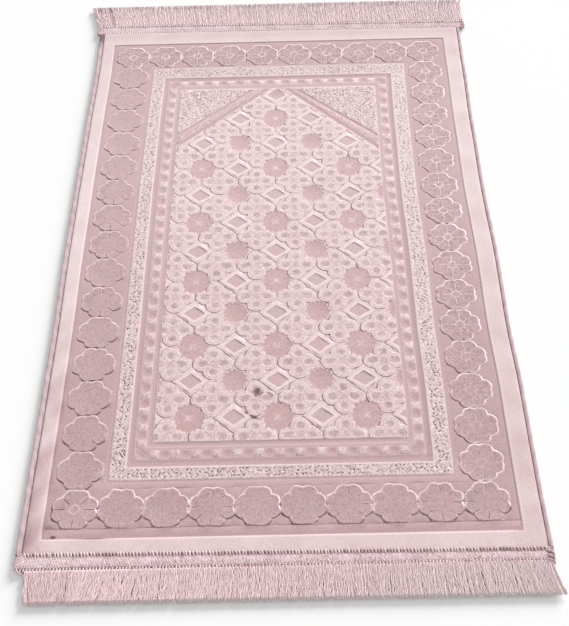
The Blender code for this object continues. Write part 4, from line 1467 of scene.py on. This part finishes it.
def woven_ground():
    """A grid in two layers, an upper and a lower one, closed by a wall all round."""
    us = np.array(sorted(spread(-GROUND_HALF, GROUND_HALF, GROUND_PITCH)
                         + [PILE_LEFT, PILE_LEFT + SIDE_STEP, PILE_RIGHT - SIDE_STEP, PILE_RIGHT]))
    near, far = NEAR_TAPE_INNER - END_STEP, FAR_TAPE_INNER + END_STEP
    vs = np.array(sorted(spread(GROUND_NEAR, GROUND_FAR, GROUND_PITCH)
                         + [NEAR_TAPE_INNER, FAR_TAPE_INNER, near, far]))
    grid_u, grid_v = np.meshgrid(us, vs)
    within = ease(near, NEAR_TAPE_INNER, grid_v) * ease(far, FAR_TAPE_INNER, grid_v)
    side = within * (ease(PILE_LEFT + SIDE_STEP, PILE_LEFT, grid_u)
                     + ease(PILE_RIGHT - SIDE_STEP, PILE_RIGHT, grid_u))
    low = 0.0016 * side
    high = 0.0016 + 0.0028 * side + 0.0014 * (1 - within)
    verts = np.vstack([as_it_lies(grid_u, grid_v, z).reshape(-1, 3) for z in (low, high)])
    lower = np.arange(grid_u.size).reshape(grid_u.shape)
    upper = grid_u.size
    faces = []
    for quad in zip(*(part.ravel().tolist() for part in (
            lower[:-1, :-1], lower[:-1, 1:], lower[1:, 1:], lower[1:, :-1]))):
        faces += [quad[::-1], tuple(upper + k for k in quad)]
    rim = [*lower[0, :-1], *lower[:-1, -1], *lower[-1, :0:-1], *lower[:0:-1, 0]]
    faces += [(a, b, upper + b, upper + a) for a, b in zip(rim, rim[1:] + rim[:1])]
    return verts, faces


def weave_material():
    cloth = Nodes("woven ground", 0.9)
    place = cloth.place()
    warp = cloth.add("TexWave", {"Vector": place, "Scale": 210.0}, bands_direction="X").outputs["Fac"]
    weft = cloth.add("TexWave", {"Vector": place, "Scale": 160.0}, bands_direction="Y").outputs["Fac"]
    weave = cloth.calculate("MULTIPLY", warp, weft)
    value = cloth.sum(cloth.sum(weave, cloth.noise(place, 60.0), 0.5), cloth.noise(place, 900.0), 0.3)
    return cloth.finish(cloth.ramp(value, (0.0, 0.5, 1.0), WEAVE_COLOURS), weave, 0.6, 0.0005)


ground = new_piece("woven_ground", *woven_ground(), weave_material(), "velvet_pile", smooth=False)
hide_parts("rug_pile")
print("woven ground:", len(ground.data.polygons), "faces")

# %% [markdown]
# ## The side bindings
# Each long edge is wrapped with soft yarn by an overlock machine. The strip is folded round the
# thin edge of the ground, a C in section, and the section is swept along the side. The yarn lies
# close, so only slow, uneven swellings and streaks along the edge show.

# %% Side bindings
BINDING_SECTION = np.array([    # from the inner foot, round the outside, to the inner lip, and back
    (9.5, 0.0), (5.5, 0.0), (1.2, 0.0), (0.3, 0.8), (0.0, 2.2), (0.0, 4.0), (0.4, 5.3), (1.4, 6.0),
    (3.0, 6.35), (5.0, 6.3), (7.2, 6.1), (9.0, 5.7), (9.5, 5.1), (9.4, 4.7), (1.3, 4.7), (1.3, 1.3),
    (9.4, 1.3),
]) * MM
# The section's tones fall to dark on its inner lip: painted shade in the groove between binding and pile.
BINDING_TONES = np.array([0.3, 0.3, 0.3, 0.30, 0.30, 0.32, 0.35, 0.38, 0.40, 0.40, 0.34, 0.12, 0.05,
                          0.0, 0.2, 0.2, 0.2])
OUTSIDE = slice(1, 13)
BINDING_CENTRE = np.array([0.0047, 0.0030])
STATION, SWELLS, PRESSED = 0.0040, (0.00014, 0.00010), 0.00016


def swept(sections, tones, flip):
    """Joins equal sections, one after the other, into a closed skin with a tone at each point."""
    count, stations = len(sections[0]), len(sections)
    faces = []
    for k in range(stations - 1):
        for i in range(count):
            a, b = k * count + i, k * count + (i + 1) % count
            faces.append((a, b, b + count, a + count))
    faces += [tuple(range(count))[::-1], tuple(range((stations - 1) * count, stations * count))]
    if flip:
        faces = [face[::-1] for face in faces]
    return np.vstack(sections), faces, np.concatenate(tones)


def binding(side, width):
    """The section, pressed in a little and swollen unevenly, at even steps along one side."""
    turn = np.arange(len(BINDING_SECTION)) * 0.45
    outward = BINDING_SECTION[OUTSIDE] - BINDING_CENTRE
    outward /= np.linalg.norm(outward, axis=1)[:, None]
    sections, tones = [], []
    for k, v in enumerate(spread(NEAR_TAPE_INNER + GAP, FAR_TAPE_INNER - GAP, STATION)):
        section = BINDING_SECTION.copy()
        swell = SWELLS[0] * np.sin(k * 1.7 + turn) + SWELLS[1] * np.sin(k * 0.61 + 2 * turn)
        section[OUTSIDE] += outward * (swell[OUTSIDE, None] - PRESSED)
        section[:, 0] *= width / BINDING_SECTION[:, 0].max()
        section[:, 1] = np.clip(section[:, 1], 0, None)
        sections.append(as_it_lies(side * (HALF_WIDTH - section[:, 0]), v, section[:, 1]))
        worn = 0.06 * np.sin(k * 0.9 + turn) + (side < 0) * (0.11 - 0.55 * float(ease(0.505, 0.545, v)))
        tones.append(BINDING_TONES + worn)
    return swept(sections, tones, side < 0)


print("corners of a binding's section:", len(BINDING_SECTION))

# %% [markdown]
# ## Yarn as a material
# All yarns of the rug share one material with different colours: the tone number of each point is
# turned into a colour by a ramp, and a fine noise gives the twist. The bindings are its first use.


# %% Yarn, and the bindings' pieces
def yarn_material(name, tones, grain=700.0, roughness=0.72, sheen=0.15, stretch=(1, 1, 1), mottle=0.35):
    """Spun yarn: a tone number for each point, dyed unevenly, with a fine twist in its surface."""
    yarn = Nodes(name, roughness, sheen=sheen)
    twist = yarn.noise(yarn.place(stretch), grain, 2.0, 0.6)
    value = yarn.sum(yarn.sum(yarn.number("tone"), twist, mottle), yarn.noise(yarn.place(), 26.0), 0.20)
    return yarn.finish(yarn.ramp(value, (0.0, 0.30, 0.62, 1.0), tones), twist, 0.4, 0.0004)


BINDING_COLOURS = (124, 100, 105), (188, 163, 167), (217, 195, 198), (236, 218, 220)
binding_yarn = yarn_material("binding yarn", BINDING_COLOURS, 420.0, stretch=(1.5, 0.22, 1), mottle=0.5)
for name, side, width in (("binding_left", -1, HALF_WIDTH + PILE_LEFT - GAP),
                          ("binding_right", 1, HALF_WIDTH - PILE_RIGHT - GAP)):
    verts, faces, tones = binding(side, width)
    piece = new_piece(name + "_yarn", verts, faces, binding_yarn, "binding_yarn")
    set_values(piece, "tone", tones)
    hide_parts(name)

# %% [markdown]
# ## Header tapes
# A knitted tape is laid over each end and sewn down with two rows of overlock stitches. The first
# row runs along the tape's inner edge, where the tape is painted dark as shade between its
# stitches. The second row was sewn a little askew, and the groove it presses is darkened with
# painted shade. Between them the tape shows its knitted face. The tape's cross-section is swept
# across the rug.

# %% Header tapes
TAPES = {                   # outer v, inner v, left end, right end, +1 away from the viewer
    "far": (FAR_TAPE_OUTER, FAR_TAPE_INNER, -0.3550, 0.3590, 1.0),
    "near": (NEAR_TAPE_OUTER, NEAR_TAPE_INNER, -0.3485, 0.3480, -1.0),
}
SECOND_ROW = {"far": (0.70, -0.20), "near": (0.805, -0.23)}     # share of the tape's width, its slope
# The dark tones at the inner edge are painted shade between the first row's stitches.
TAPE_SECTION = np.array([   # share from the inner to the outer edge, height in mm, tone
    (0.00, 4.6, 0.24), (0.02, 5.2, 0.20), (0.06, 5.3, 0.18), (0.11, 5.3, 0.20), (0.16, 5.5, 0.56),
    (0.24, 5.7, 0.70), (0.40, 5.8, 0.70), (0.55, 5.8, 0.70), (0.66, 5.7, 0.70), (0.76, 5.5, 0.66),
    (0.84, 5.3, 0.55), (0.90, 5.0, 0.50), (0.96, 4.4, 0.45), (1.00, 3.4, 0.40),
    (1.00, 2.6, 0.2), (0.93, 3.0, 0.2), (0.50, 3.3, 0.2), (0.00, 3.3, 0.2),
])
TAPE_TOP = TAPE_SECTION[:14]
TAPE_PITCH, ROW_WIDTH, ROW_DEPTH = 0.0026, 0.095, 0.0007    # the second row presses a groove


def tape_height(share):
    return np.interp(share, TAPE_TOP[:, 0], TAPE_TOP[:, 1]) * MM


def second_row(end, u):
    share, slope = SECOND_ROW[end]
    return share + slope * u


def tape(end, outer, inner, left, right, out):
    sections, tones = [], []
    top = np.arange(len(TAPE_SECTION)) < len(TAPE_TOP)
    for k, u in enumerate(spread(left, right, TAPE_PITCH)):
        share, height, tone = TAPE_SECTION.T.copy()
        swell = 0.10 * math.sin(k * 2.4) + 0.12 * math.sin(u * 95) + 0.10 * math.sin(u * 173 + 1)
        end_drop = 1 - 0.45 * ease(0.004, 0.0, min(u - left, right - u))
        z = (height + top * swell) * end_drop * MM
        # The groove under the second row is darkened with painted shade, less on the near tape's right.
        line = tent(share - second_row(end, u) - 0.03, ROW_WIDTH) * top
        groove_shade = 0.60 + 0.38 * ease(0.10, -0.25, u) if out < 0 else 1.0
        tone = tone + 0.08 * (out > 0) * top
        corner = 0.0050 * (1 - share) ** 2 + 0.0070 * share ** 4
        rounded = u + ease(0.014, 0.0, u - left) * corner * (out < 0)
        sections.append(as_it_lies(rounded, inner + (outer - inner) * share, z - ROW_DEPTH * line))
        tones.append(tone * (1 - groove_shade * line) + 0.07 * math.sin(k * 2.1) * top)
    return swept(sections, tones, out < 0)


TAPE_COLOURS = (116, 86, 93), (178, 148, 153), (226, 199, 203), (246, 226, 229)
tape_yarn = yarn_material("tape yarn", TAPE_COLOURS, 420.0, stretch=(1.4, 0.6, 1), mottle=0.9)
tapes = {}
for end, facts in TAPES.items():
    verts, faces, tones = tape(end, *facts)
    tapes[end] = new_piece("header_tape_" + end, verts, faces, tape_yarn, "fringe_yarn")
    set_values(tapes[end], "tone", tones)
    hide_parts("fringe_" + end)
print("tape faces:", [len(t.data.polygons) for t in tapes.values()])

# %% [markdown]
# ## A yarn as a tube
# Stitches and fringe are the same thing, a length of yarn, so one function makes them all: it
# follows a line of points with a small ring of corners at each. Hundreds of yarns are joined
# into one mesh, because a thousand separate objects would be slow to handle.


# %% Yarn tubes
def tubes(lines, radii, sides, first=0.5):
    """lines: array yarn x point x 3, radii: yarn x point. Closed tubes, as verts and faces.
    first says where round the ring its first corner lies, in shares of a side."""
    lines, radii = np.asarray(lines, float), np.asarray(radii, float)
    count, points = lines.shape[:2]
    along = np.gradient(lines, axis=1)
    along /= np.linalg.norm(along, axis=2)[..., None] + 1e-12
    side = np.cross(along, np.array([0.0, 0.0, 1.0]))
    side /= np.linalg.norm(side, axis=2)[..., None] + 1e-12
    up = np.cross(side, along)
    turns = (np.arange(sides) + first) * 2 * math.pi / sides
    ring = (side[:, :, None] * np.cos(turns)[None, None, :, None]
            + up[:, :, None] * np.sin(turns)[None, None, :, None])
    verts = (lines[:, :, None] + ring * radii[:, :, None, None]).reshape(-1, 3)
    one = []
    for p in range(points - 1):
        for s in range(sides):
            a, b = p * sides + s, p * sides + (s + 1) % sides
            one.append((a, b, b + sides, a + sides))
    caps = [tuple(range(sides))[::-1], tuple((points - 1) * sides + s for s in range(sides))]
    size = points * sides
    faces = [tuple(k * size + i for i in face) for k in range(count) for face in one + caps]
    return verts, faces


_, test_faces = tubes([[(0, 0, 0), (0, 1, 0)]], [[0.1, 0.1]], 4)
print("a straight yarn of four sides has", len(test_faces), "faces")

# %% [markdown]
# ## Overlock stitches
# Each stitch is one short yarn that rises out of the tape and dives back into it. On the near end,
# the stitches of the first row are long and hook over the pile's edge, and those of the second row
# are short and thin. On the far end both rows are alike, and paler. A second row has no share of
# the width in its table, because it follows its own slanted line.

# %% Stitches
STITCH_ROWS = {             # end: share of the width, pitch, reach, lean, radius, lift, tone
    "near": ((0.035, 0.0043, 0.0066, -0.0022, 0.00146, 0.0008, 0.60),
             (None, 0.0043, 0.0048, 0.0024, 0.00095, 0.0009, 0.66)),
    "far": ((0.040, 0.0043, 0.0058, 0.0010, 0.00112, 0.0011, 0.98),
            (None, 0.0043, 0.0062, -0.0014, 0.00115, 0.0014, 1.02)),
}
STEPS = np.linspace(-0.5, 0.5, 7)
RISE = np.sqrt(np.clip(1 - (2 * STEPS) ** 2, 0, 1))
HOOK = 0.0014               # how much higher a first-row stitch enters the pile than it leaves the tape
SUNK = 0.0006               # how deep both ends of a stitch lie in the tape
ROW_OFFSET = 0.075          # from the second row's line to the middle of its stitches


def row_of_stitches(end, row, outer, inner, left, right, out):
    share, pitch, reach, lean, radius, lift, yarn_tone = row
    found = []
    for u in np.arange(left + 0.004, right - 0.003, pitch):
        place = second_row(end, u) + ROW_OFFSET if share is None else share
        tilt, long = lean * random.uniform(0.7, 1.3), reach * random.uniform(0.85, 1.12)
        line_u = u + random.normal(0, 0.00035) + tilt * STEPS
        line_v = inner + (outer - inner) * place - out * long * STEPS
        line_z = tape_height(place) - SUNK + (lift + random.normal(0, 0.0001)) * RISE
        if share is not None:
            line_z = line_z + HOOK * np.clip(2 * STEPS, 0, 1)
        tone = yarn_tone + 0.12 * math.sin(u * 37) + random.normal(0, 0.12)
        if share is None and out < 0:
            tone += 0.25 * float(ease(0.05, -0.25, u))
        found.append((as_it_lies(line_u, line_v, line_z), radius * (0.60 + 0.40 * RISE), tone))
    return found                            # each a path, a radius along it and a tone


print("a stitch rises by shares of", RISE.round(2))

# %% [markdown]
# ## The knitted face
# Between the rows the tape shows columns of small slanted loops, leaning one way and then the
# other, as in any plain knit.

# %% Knit
KNIT_ROWS, KNIT_PITCH = 4, 0.0034
KNIT_START, KNIT_END = 0.27, 0.12           # share of the width, and how far short of the second row
KNIT_LEAN, KNIT_LONG, KNIT_RADIUS = 0.0011, 0.0052, 0.00070
KNIT_STEPS = np.array([-0.5, -0.2, 0.2, 0.5])
KNIT_RISE = np.array([0.0, 0.9, 0.9, 0.0])


def knit(end, outer, inner, left, right, out):
    found = []
    for row in range(KNIT_ROWS):
        odd = row % 2
        for u in np.arange(left + 0.002, right - 0.002, KNIT_PITCH):
            place = KNIT_START + (second_row(end, u) - KNIT_END - KNIT_START) * row / (KNIT_ROWS - 1)
            lean = (KNIT_LEAN if odd else -KNIT_LEAN) * KNIT_STEPS * 2
            line_u = u + odd * KNIT_PITCH / 2 + lean + random.normal(0, 0.0003)
            line_v = (inner + (outer - inner) * place - out * KNIT_LONG * KNIT_STEPS
                      + random.normal(0, 0.0005))
            line_z = tape_height(place) - 0.0004 + (0.0003 + random.normal(0, 0.00008)) * KNIT_RISE
            tone = 0.66 + random.normal(0, 0.16)
            found.append((as_it_lies(line_u, line_v, line_z), KNIT_RADIUS * (0.6 + 0.4 * KNIT_RISE), tone))
    return found


print("a knitted loop is", KNIT_LONG * 1e3, "mm long")

# %% [markdown]
# ## Loops round the corners
# At the tapes' four ends, longer loops of the same yarn wrap round the corner, from the tape's
# face out over its end and down to its underside. The near left corner is rounded, so its loops
# are drawn in at both ends.

# %% Corner loops
CORNERS = {                 # end: side, number of loops, how far they reach in, bulge, tone
    "near": ((-1, 10, 0.0120, 0.0026, 0.66), (1, 6, 0.0100, 0.0008, 0.35)),
    "far": ((-1, 8, 0.0120, 0.0006, 0.70), (1, 7, 0.0070, 0.0010, 0.42)),
}
CORNER_SLANT = {-1: 0.0105, 1: 0.0062}      # how far a loop runs along the rug, left and right
CORNER_HEIGHTS = np.array([5.3, 6.2, 6.0, 5.0, 3.4, 2.2, 1.6]) * MM
CORNER_RADII = np.array([0.6, 0.9, 1.0, 1.0, 1.0, 0.9, 0.6]) * MM
EVEN_TONE, ODD_TONE = -0.22, 0.16


def corner_loops(corner, outer, inner, left, right, out):
    side, count, reach, bulge, tone = corner
    end_u = left if side < 0 else right
    found = []
    for k in range(count):
        place = (k + 0.6) / count
        swell = bulge * math.sin(math.pi * min(place * 1.3, 1.0)) + 0.0004
        outward = [-reach, -reach * 0.6, -reach * 0.2, swell * 0.6, swell, swell * 0.5, -0.001]
        line_u = end_u + side * np.array(outward)
        line_v = inner + (outer - inner) * place + out * CORNER_SLANT[side] * np.linspace(-0.8, 0.8, 7)
        if (side, out) == (-1, -1.0):
            share = np.clip((line_v - inner) / (outer - inner), 0.0, 1.15)
            line_v = inner + (outer - inner) * share
            line_u += (0.0058 * (1 - share) ** 2 + 0.0085 * share ** 4) * np.linspace(0.2, 1.0, 7)
        loop_tone = tone + random.normal(0, 0.10) + (ODD_TONE if k % 2 else EVEN_TONE)
        found.append((as_it_lies(line_u, line_v, CORNER_HEIGHTS), CORNER_RADII, loop_tone))
    return found


print("loops at the corners:", [corner[1] for corners in CORNERS.values() for corner in corners])

# %% [markdown]
# ## Sewing
# The stitches and the corner loops of one end become one piece, with tubes of six sides. The
# knitted loops are finer, so four sides are enough for them.

# %% Sewing
STITCH_COLOURS = (124, 92, 99), (190, 157, 163), (229, 202, 206), (250, 232, 234)
stitch_yarn = yarn_material("stitching yarn", STITCH_COLOURS, 900.0)
sewing = {}


def sew(name, found, sides):
    lines, radii, tones = zip(*found)
    verts, faces = tubes(lines, radii, sides)
    sewing[name] = new_piece(name, verts, faces, stitch_yarn, "fringe_yarn")
    set_values(sewing[name], "tone", np.repeat(np.clip(tones, 0, 1), len(verts) // len(lines)))
    print(name + ":", len(found))


for end, facts in TAPES.items():
    found = [stitch for row in STITCH_ROWS[end] for stitch in row_of_stitches(end, row, *facts)]
    found += [loop for corner in CORNERS[end] for loop in corner_loops(corner, *facts)]
    sew("stitches_" + end, found, 6)
    sew("knit_" + end, knit(end, *facts), 4)

# %% [markdown]
# ## Fringe
# Over a thousand thin strands hang from each tape, each of two fine yarns loosely twisted together.
# They start under the second row of stitches and lie on one another in a loose layer a few
# millimetres thick. Most lie near its top. Each strand is slightly wavy and leans as its place
# across the rug says.

# %% Fringe
FAR_LEAN = ((-0.360, -0.012), (-0.325, -0.013), (-0.250, -0.004), (0.0, 0.0), (0.250, 0.003),
            (0.360, 0.009))
NEAR_LEAN = ((-0.340, 0.005), (-0.300, -0.004), (-0.220, -0.009), (-0.100, -0.003), (0.120, 0.002),
             (0.260, 0.004), (0.320, 0.010), (0.350, 0.012))
FRINGES = {                 # tips' v, left root, right root, lean; number, lean and gathering of wisps
    "far": (HALF_LENGTH, -0.3560, 0.3590, FAR_LEAN, (24, 0.0015, 0.09)),
    "near": (-HALF_LENGTH, -0.3350, 0.3465, NEAR_LEAN, (34, 0.0024, 0.20)),
}
STRANDS, PLIES, YARN_RADIUS = 1300, 2, 0.00056
SHARES = np.array([0.0, 0.05, 0.12, 0.20, 0.29, 0.38, 0.48, 0.58, 0.68, 0.78, 0.89, 1.0])
TOP_SHARE, TOP_LAYER = {"far": 0.94, "near": 0.85}, 0.20    # how many strands keep to the top layer
# The near strands are painted paler than the far ones, and paler towards the right: painted light on one
# yarn.
STRAND_TONE = {             # places across the rug, and the strands' tone there
    "far": ((-0.36, 0.36), (0.48, 0.42)),
    "near": ((-0.34, -0.10, 0.10, 0.35), (0.52, 0.63, 0.69, 0.84)),
}
# Darker at the root: painted shade under the stitches. The near tips are paler, a painted highlight; the far
# tips are darker.
TONE_ALONG = {              # shares of a yarn's length, and what is added to its tone there
    "far": ((0.0, 0.05, 0.12, 0.70, 1.0), (-0.40, -0.20, 0.0, -0.05, -0.36)),
    "near": ((0.0, 0.05, 0.12, 0.84, 1.0), (-0.22, -0.04, 0.0, 0.0, 0.30)),
}


def strand(end, u, tip, moved):
    """The path of one strand from its root to its tip, as u, v and z at each share."""
    outer, inner, _, _, out = TAPES[end]
    root_v = inner + (outer - inner) * (second_row(end, u) + 0.11)
    end_v = tip - out * min(abs(random.normal(0, 0.0006)), 0.003)
    wave = 0.00075 * np.sin(SHARES * random.uniform(12, 24) + random.uniform(0, 6.3)) * ease(0, 0.2, SHARES)
    low = np.interp(SHARES, (0.0, 0.15, 1.0), (4.3, 2.4, 0.9)) * MM
    high = np.interp(SHARES, (0.0, 0.06, 1.0), (5.0, 5.2, 4.4)) * MM
    depth = random.uniform(0, 1) ** 1.5
    depth *= TOP_LAYER if random.uniform() < TOP_SHARE[end] else 1.0
    line_z = high - (high - low) * depth + random.normal(0, 0.00012) * ease(0, 0.1, SHARES)
    line_u = u + (moved + random.normal(0, 0.0019)) * SHARES ** 1.3 + wave
    return line_u, root_v + (end_v - root_v) * SHARES, line_z


print("a strand follows", len(SHARES), "points")

# %% [markdown]
# ## Wisps and plies
# The strands gather into wisps that lean to one side or the other. At two corners the strands are
# darker and lighter in turn. The two yarns of a strand wind round its path, thinner at both ends.

# %% Fringe's pieces
YARN_TAPER = np.interp(SHARES, (0, 0.06, 0.9, 1), (0.7, 1, 0.95, 0.7))
WIND = (0.00050, 0.00025)   # how far a yarn winds from its strand's path, across and up
LOOSE = {"far": (-0.300, -0.345), "near": (0.325, 0.342)}       # where across the rug tones grow uneven
FIRST_CORNER = {"far": 0.2, "near": 0.5}    # how a yarn's three flat sides face the light


def fringe(end, tip, left, right, lean, wisps):
    count, shift, gather = wisps
    middles, widths = random.uniform(left, right, count), random.uniform(0.006, 0.014, count)
    shifts, squeeze = random.normal(0, shift, count), random.uniform(-0.75 * gather, gather, count)
    roots = np.linspace(left + 0.0012, right - 0.0012, STRANDS) + random.normal(0, 0.0004, STRANDS)
    lines, radii, tones = [], [], []
    for u in roots:
        near_wisp = tent(u - middles, widths)
        moved = float(read_table(lean, u, 1)) + (near_wisp * (shifts - squeeze * (u - middles))).sum()
        line_u, line_v, line_z = strand(end, u, tip, moved)
        loose = float(ease(*LOOSE[end], u))
        strand_tone = np.interp(u, *STRAND_TONE[end]) - 0.05 * loose + random.normal(0, 0.06 + 0.34 * loose)
        twist = random.uniform(0, 6.3) + SHARES * random.uniform(5, 11)
        for ply in range(PLIES):
            turn = twist + ply * 2 * math.pi / PLIES
            thick = YARN_RADIUS * random.uniform(0.8, 1.15) * YARN_TAPER
            ply_u = line_u + WIND[0] * np.cos(turn) + random.normal(0, 0.0003) * SHARES
            ply_z = np.maximum(line_z + WIND[1] * np.sin(turn), thick)
            lines.append(as_it_lies(ply_u, line_v, ply_z))
            radii.append(thick)
            tones.append(np.clip(strand_tone + random.normal(0, 0.05), 0.02, 1.0)
                         + np.interp(SHARES, *TONE_ALONG[end]))
    lines = np.array(lines)
    lines[..., 1] = np.clip(lines[..., 1], -HALF_LENGTH, HALF_LENGTH)
    verts, faces = tubes(lines, radii, 3, FIRST_CORNER[end])
    return verts, faces, np.repeat(np.array(tones).reshape(-1), 3)


FRINGE_COLOURS = (150, 120, 125), (232, 204, 207), (255, 225, 227), (255, 237, 239)
fringe_yarn = yarn_material("fringe yarn", FRINGE_COLOURS, 500.0, 0.65, 0.4, stretch=(1.0, 0.35, 1.0))
fringes = {}
for end, facts in FRINGES.items():
    verts, faces, tones = fringe(end, *facts)
    fringes[end] = new_piece("fringe_yarns_" + end, verts, faces, fringe_yarn, "fringe_yarn")
    set_values(fringes[end], "tone", tones)
    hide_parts("fringe_" + end)
print("fringe faces:", [len(f.data.polygons) for f in fringes.values()])

# %% [markdown]
# ## Triangles in all
# Last, the triangles of all the shown pieces are counted. The dressed rug may not grow.

# %% Triangles in all
total = sum(sum(len(p.vertices) - 2 for p in o.data.polygons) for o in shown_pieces() if o.type == "MESH")
print("triangles in all:", total)
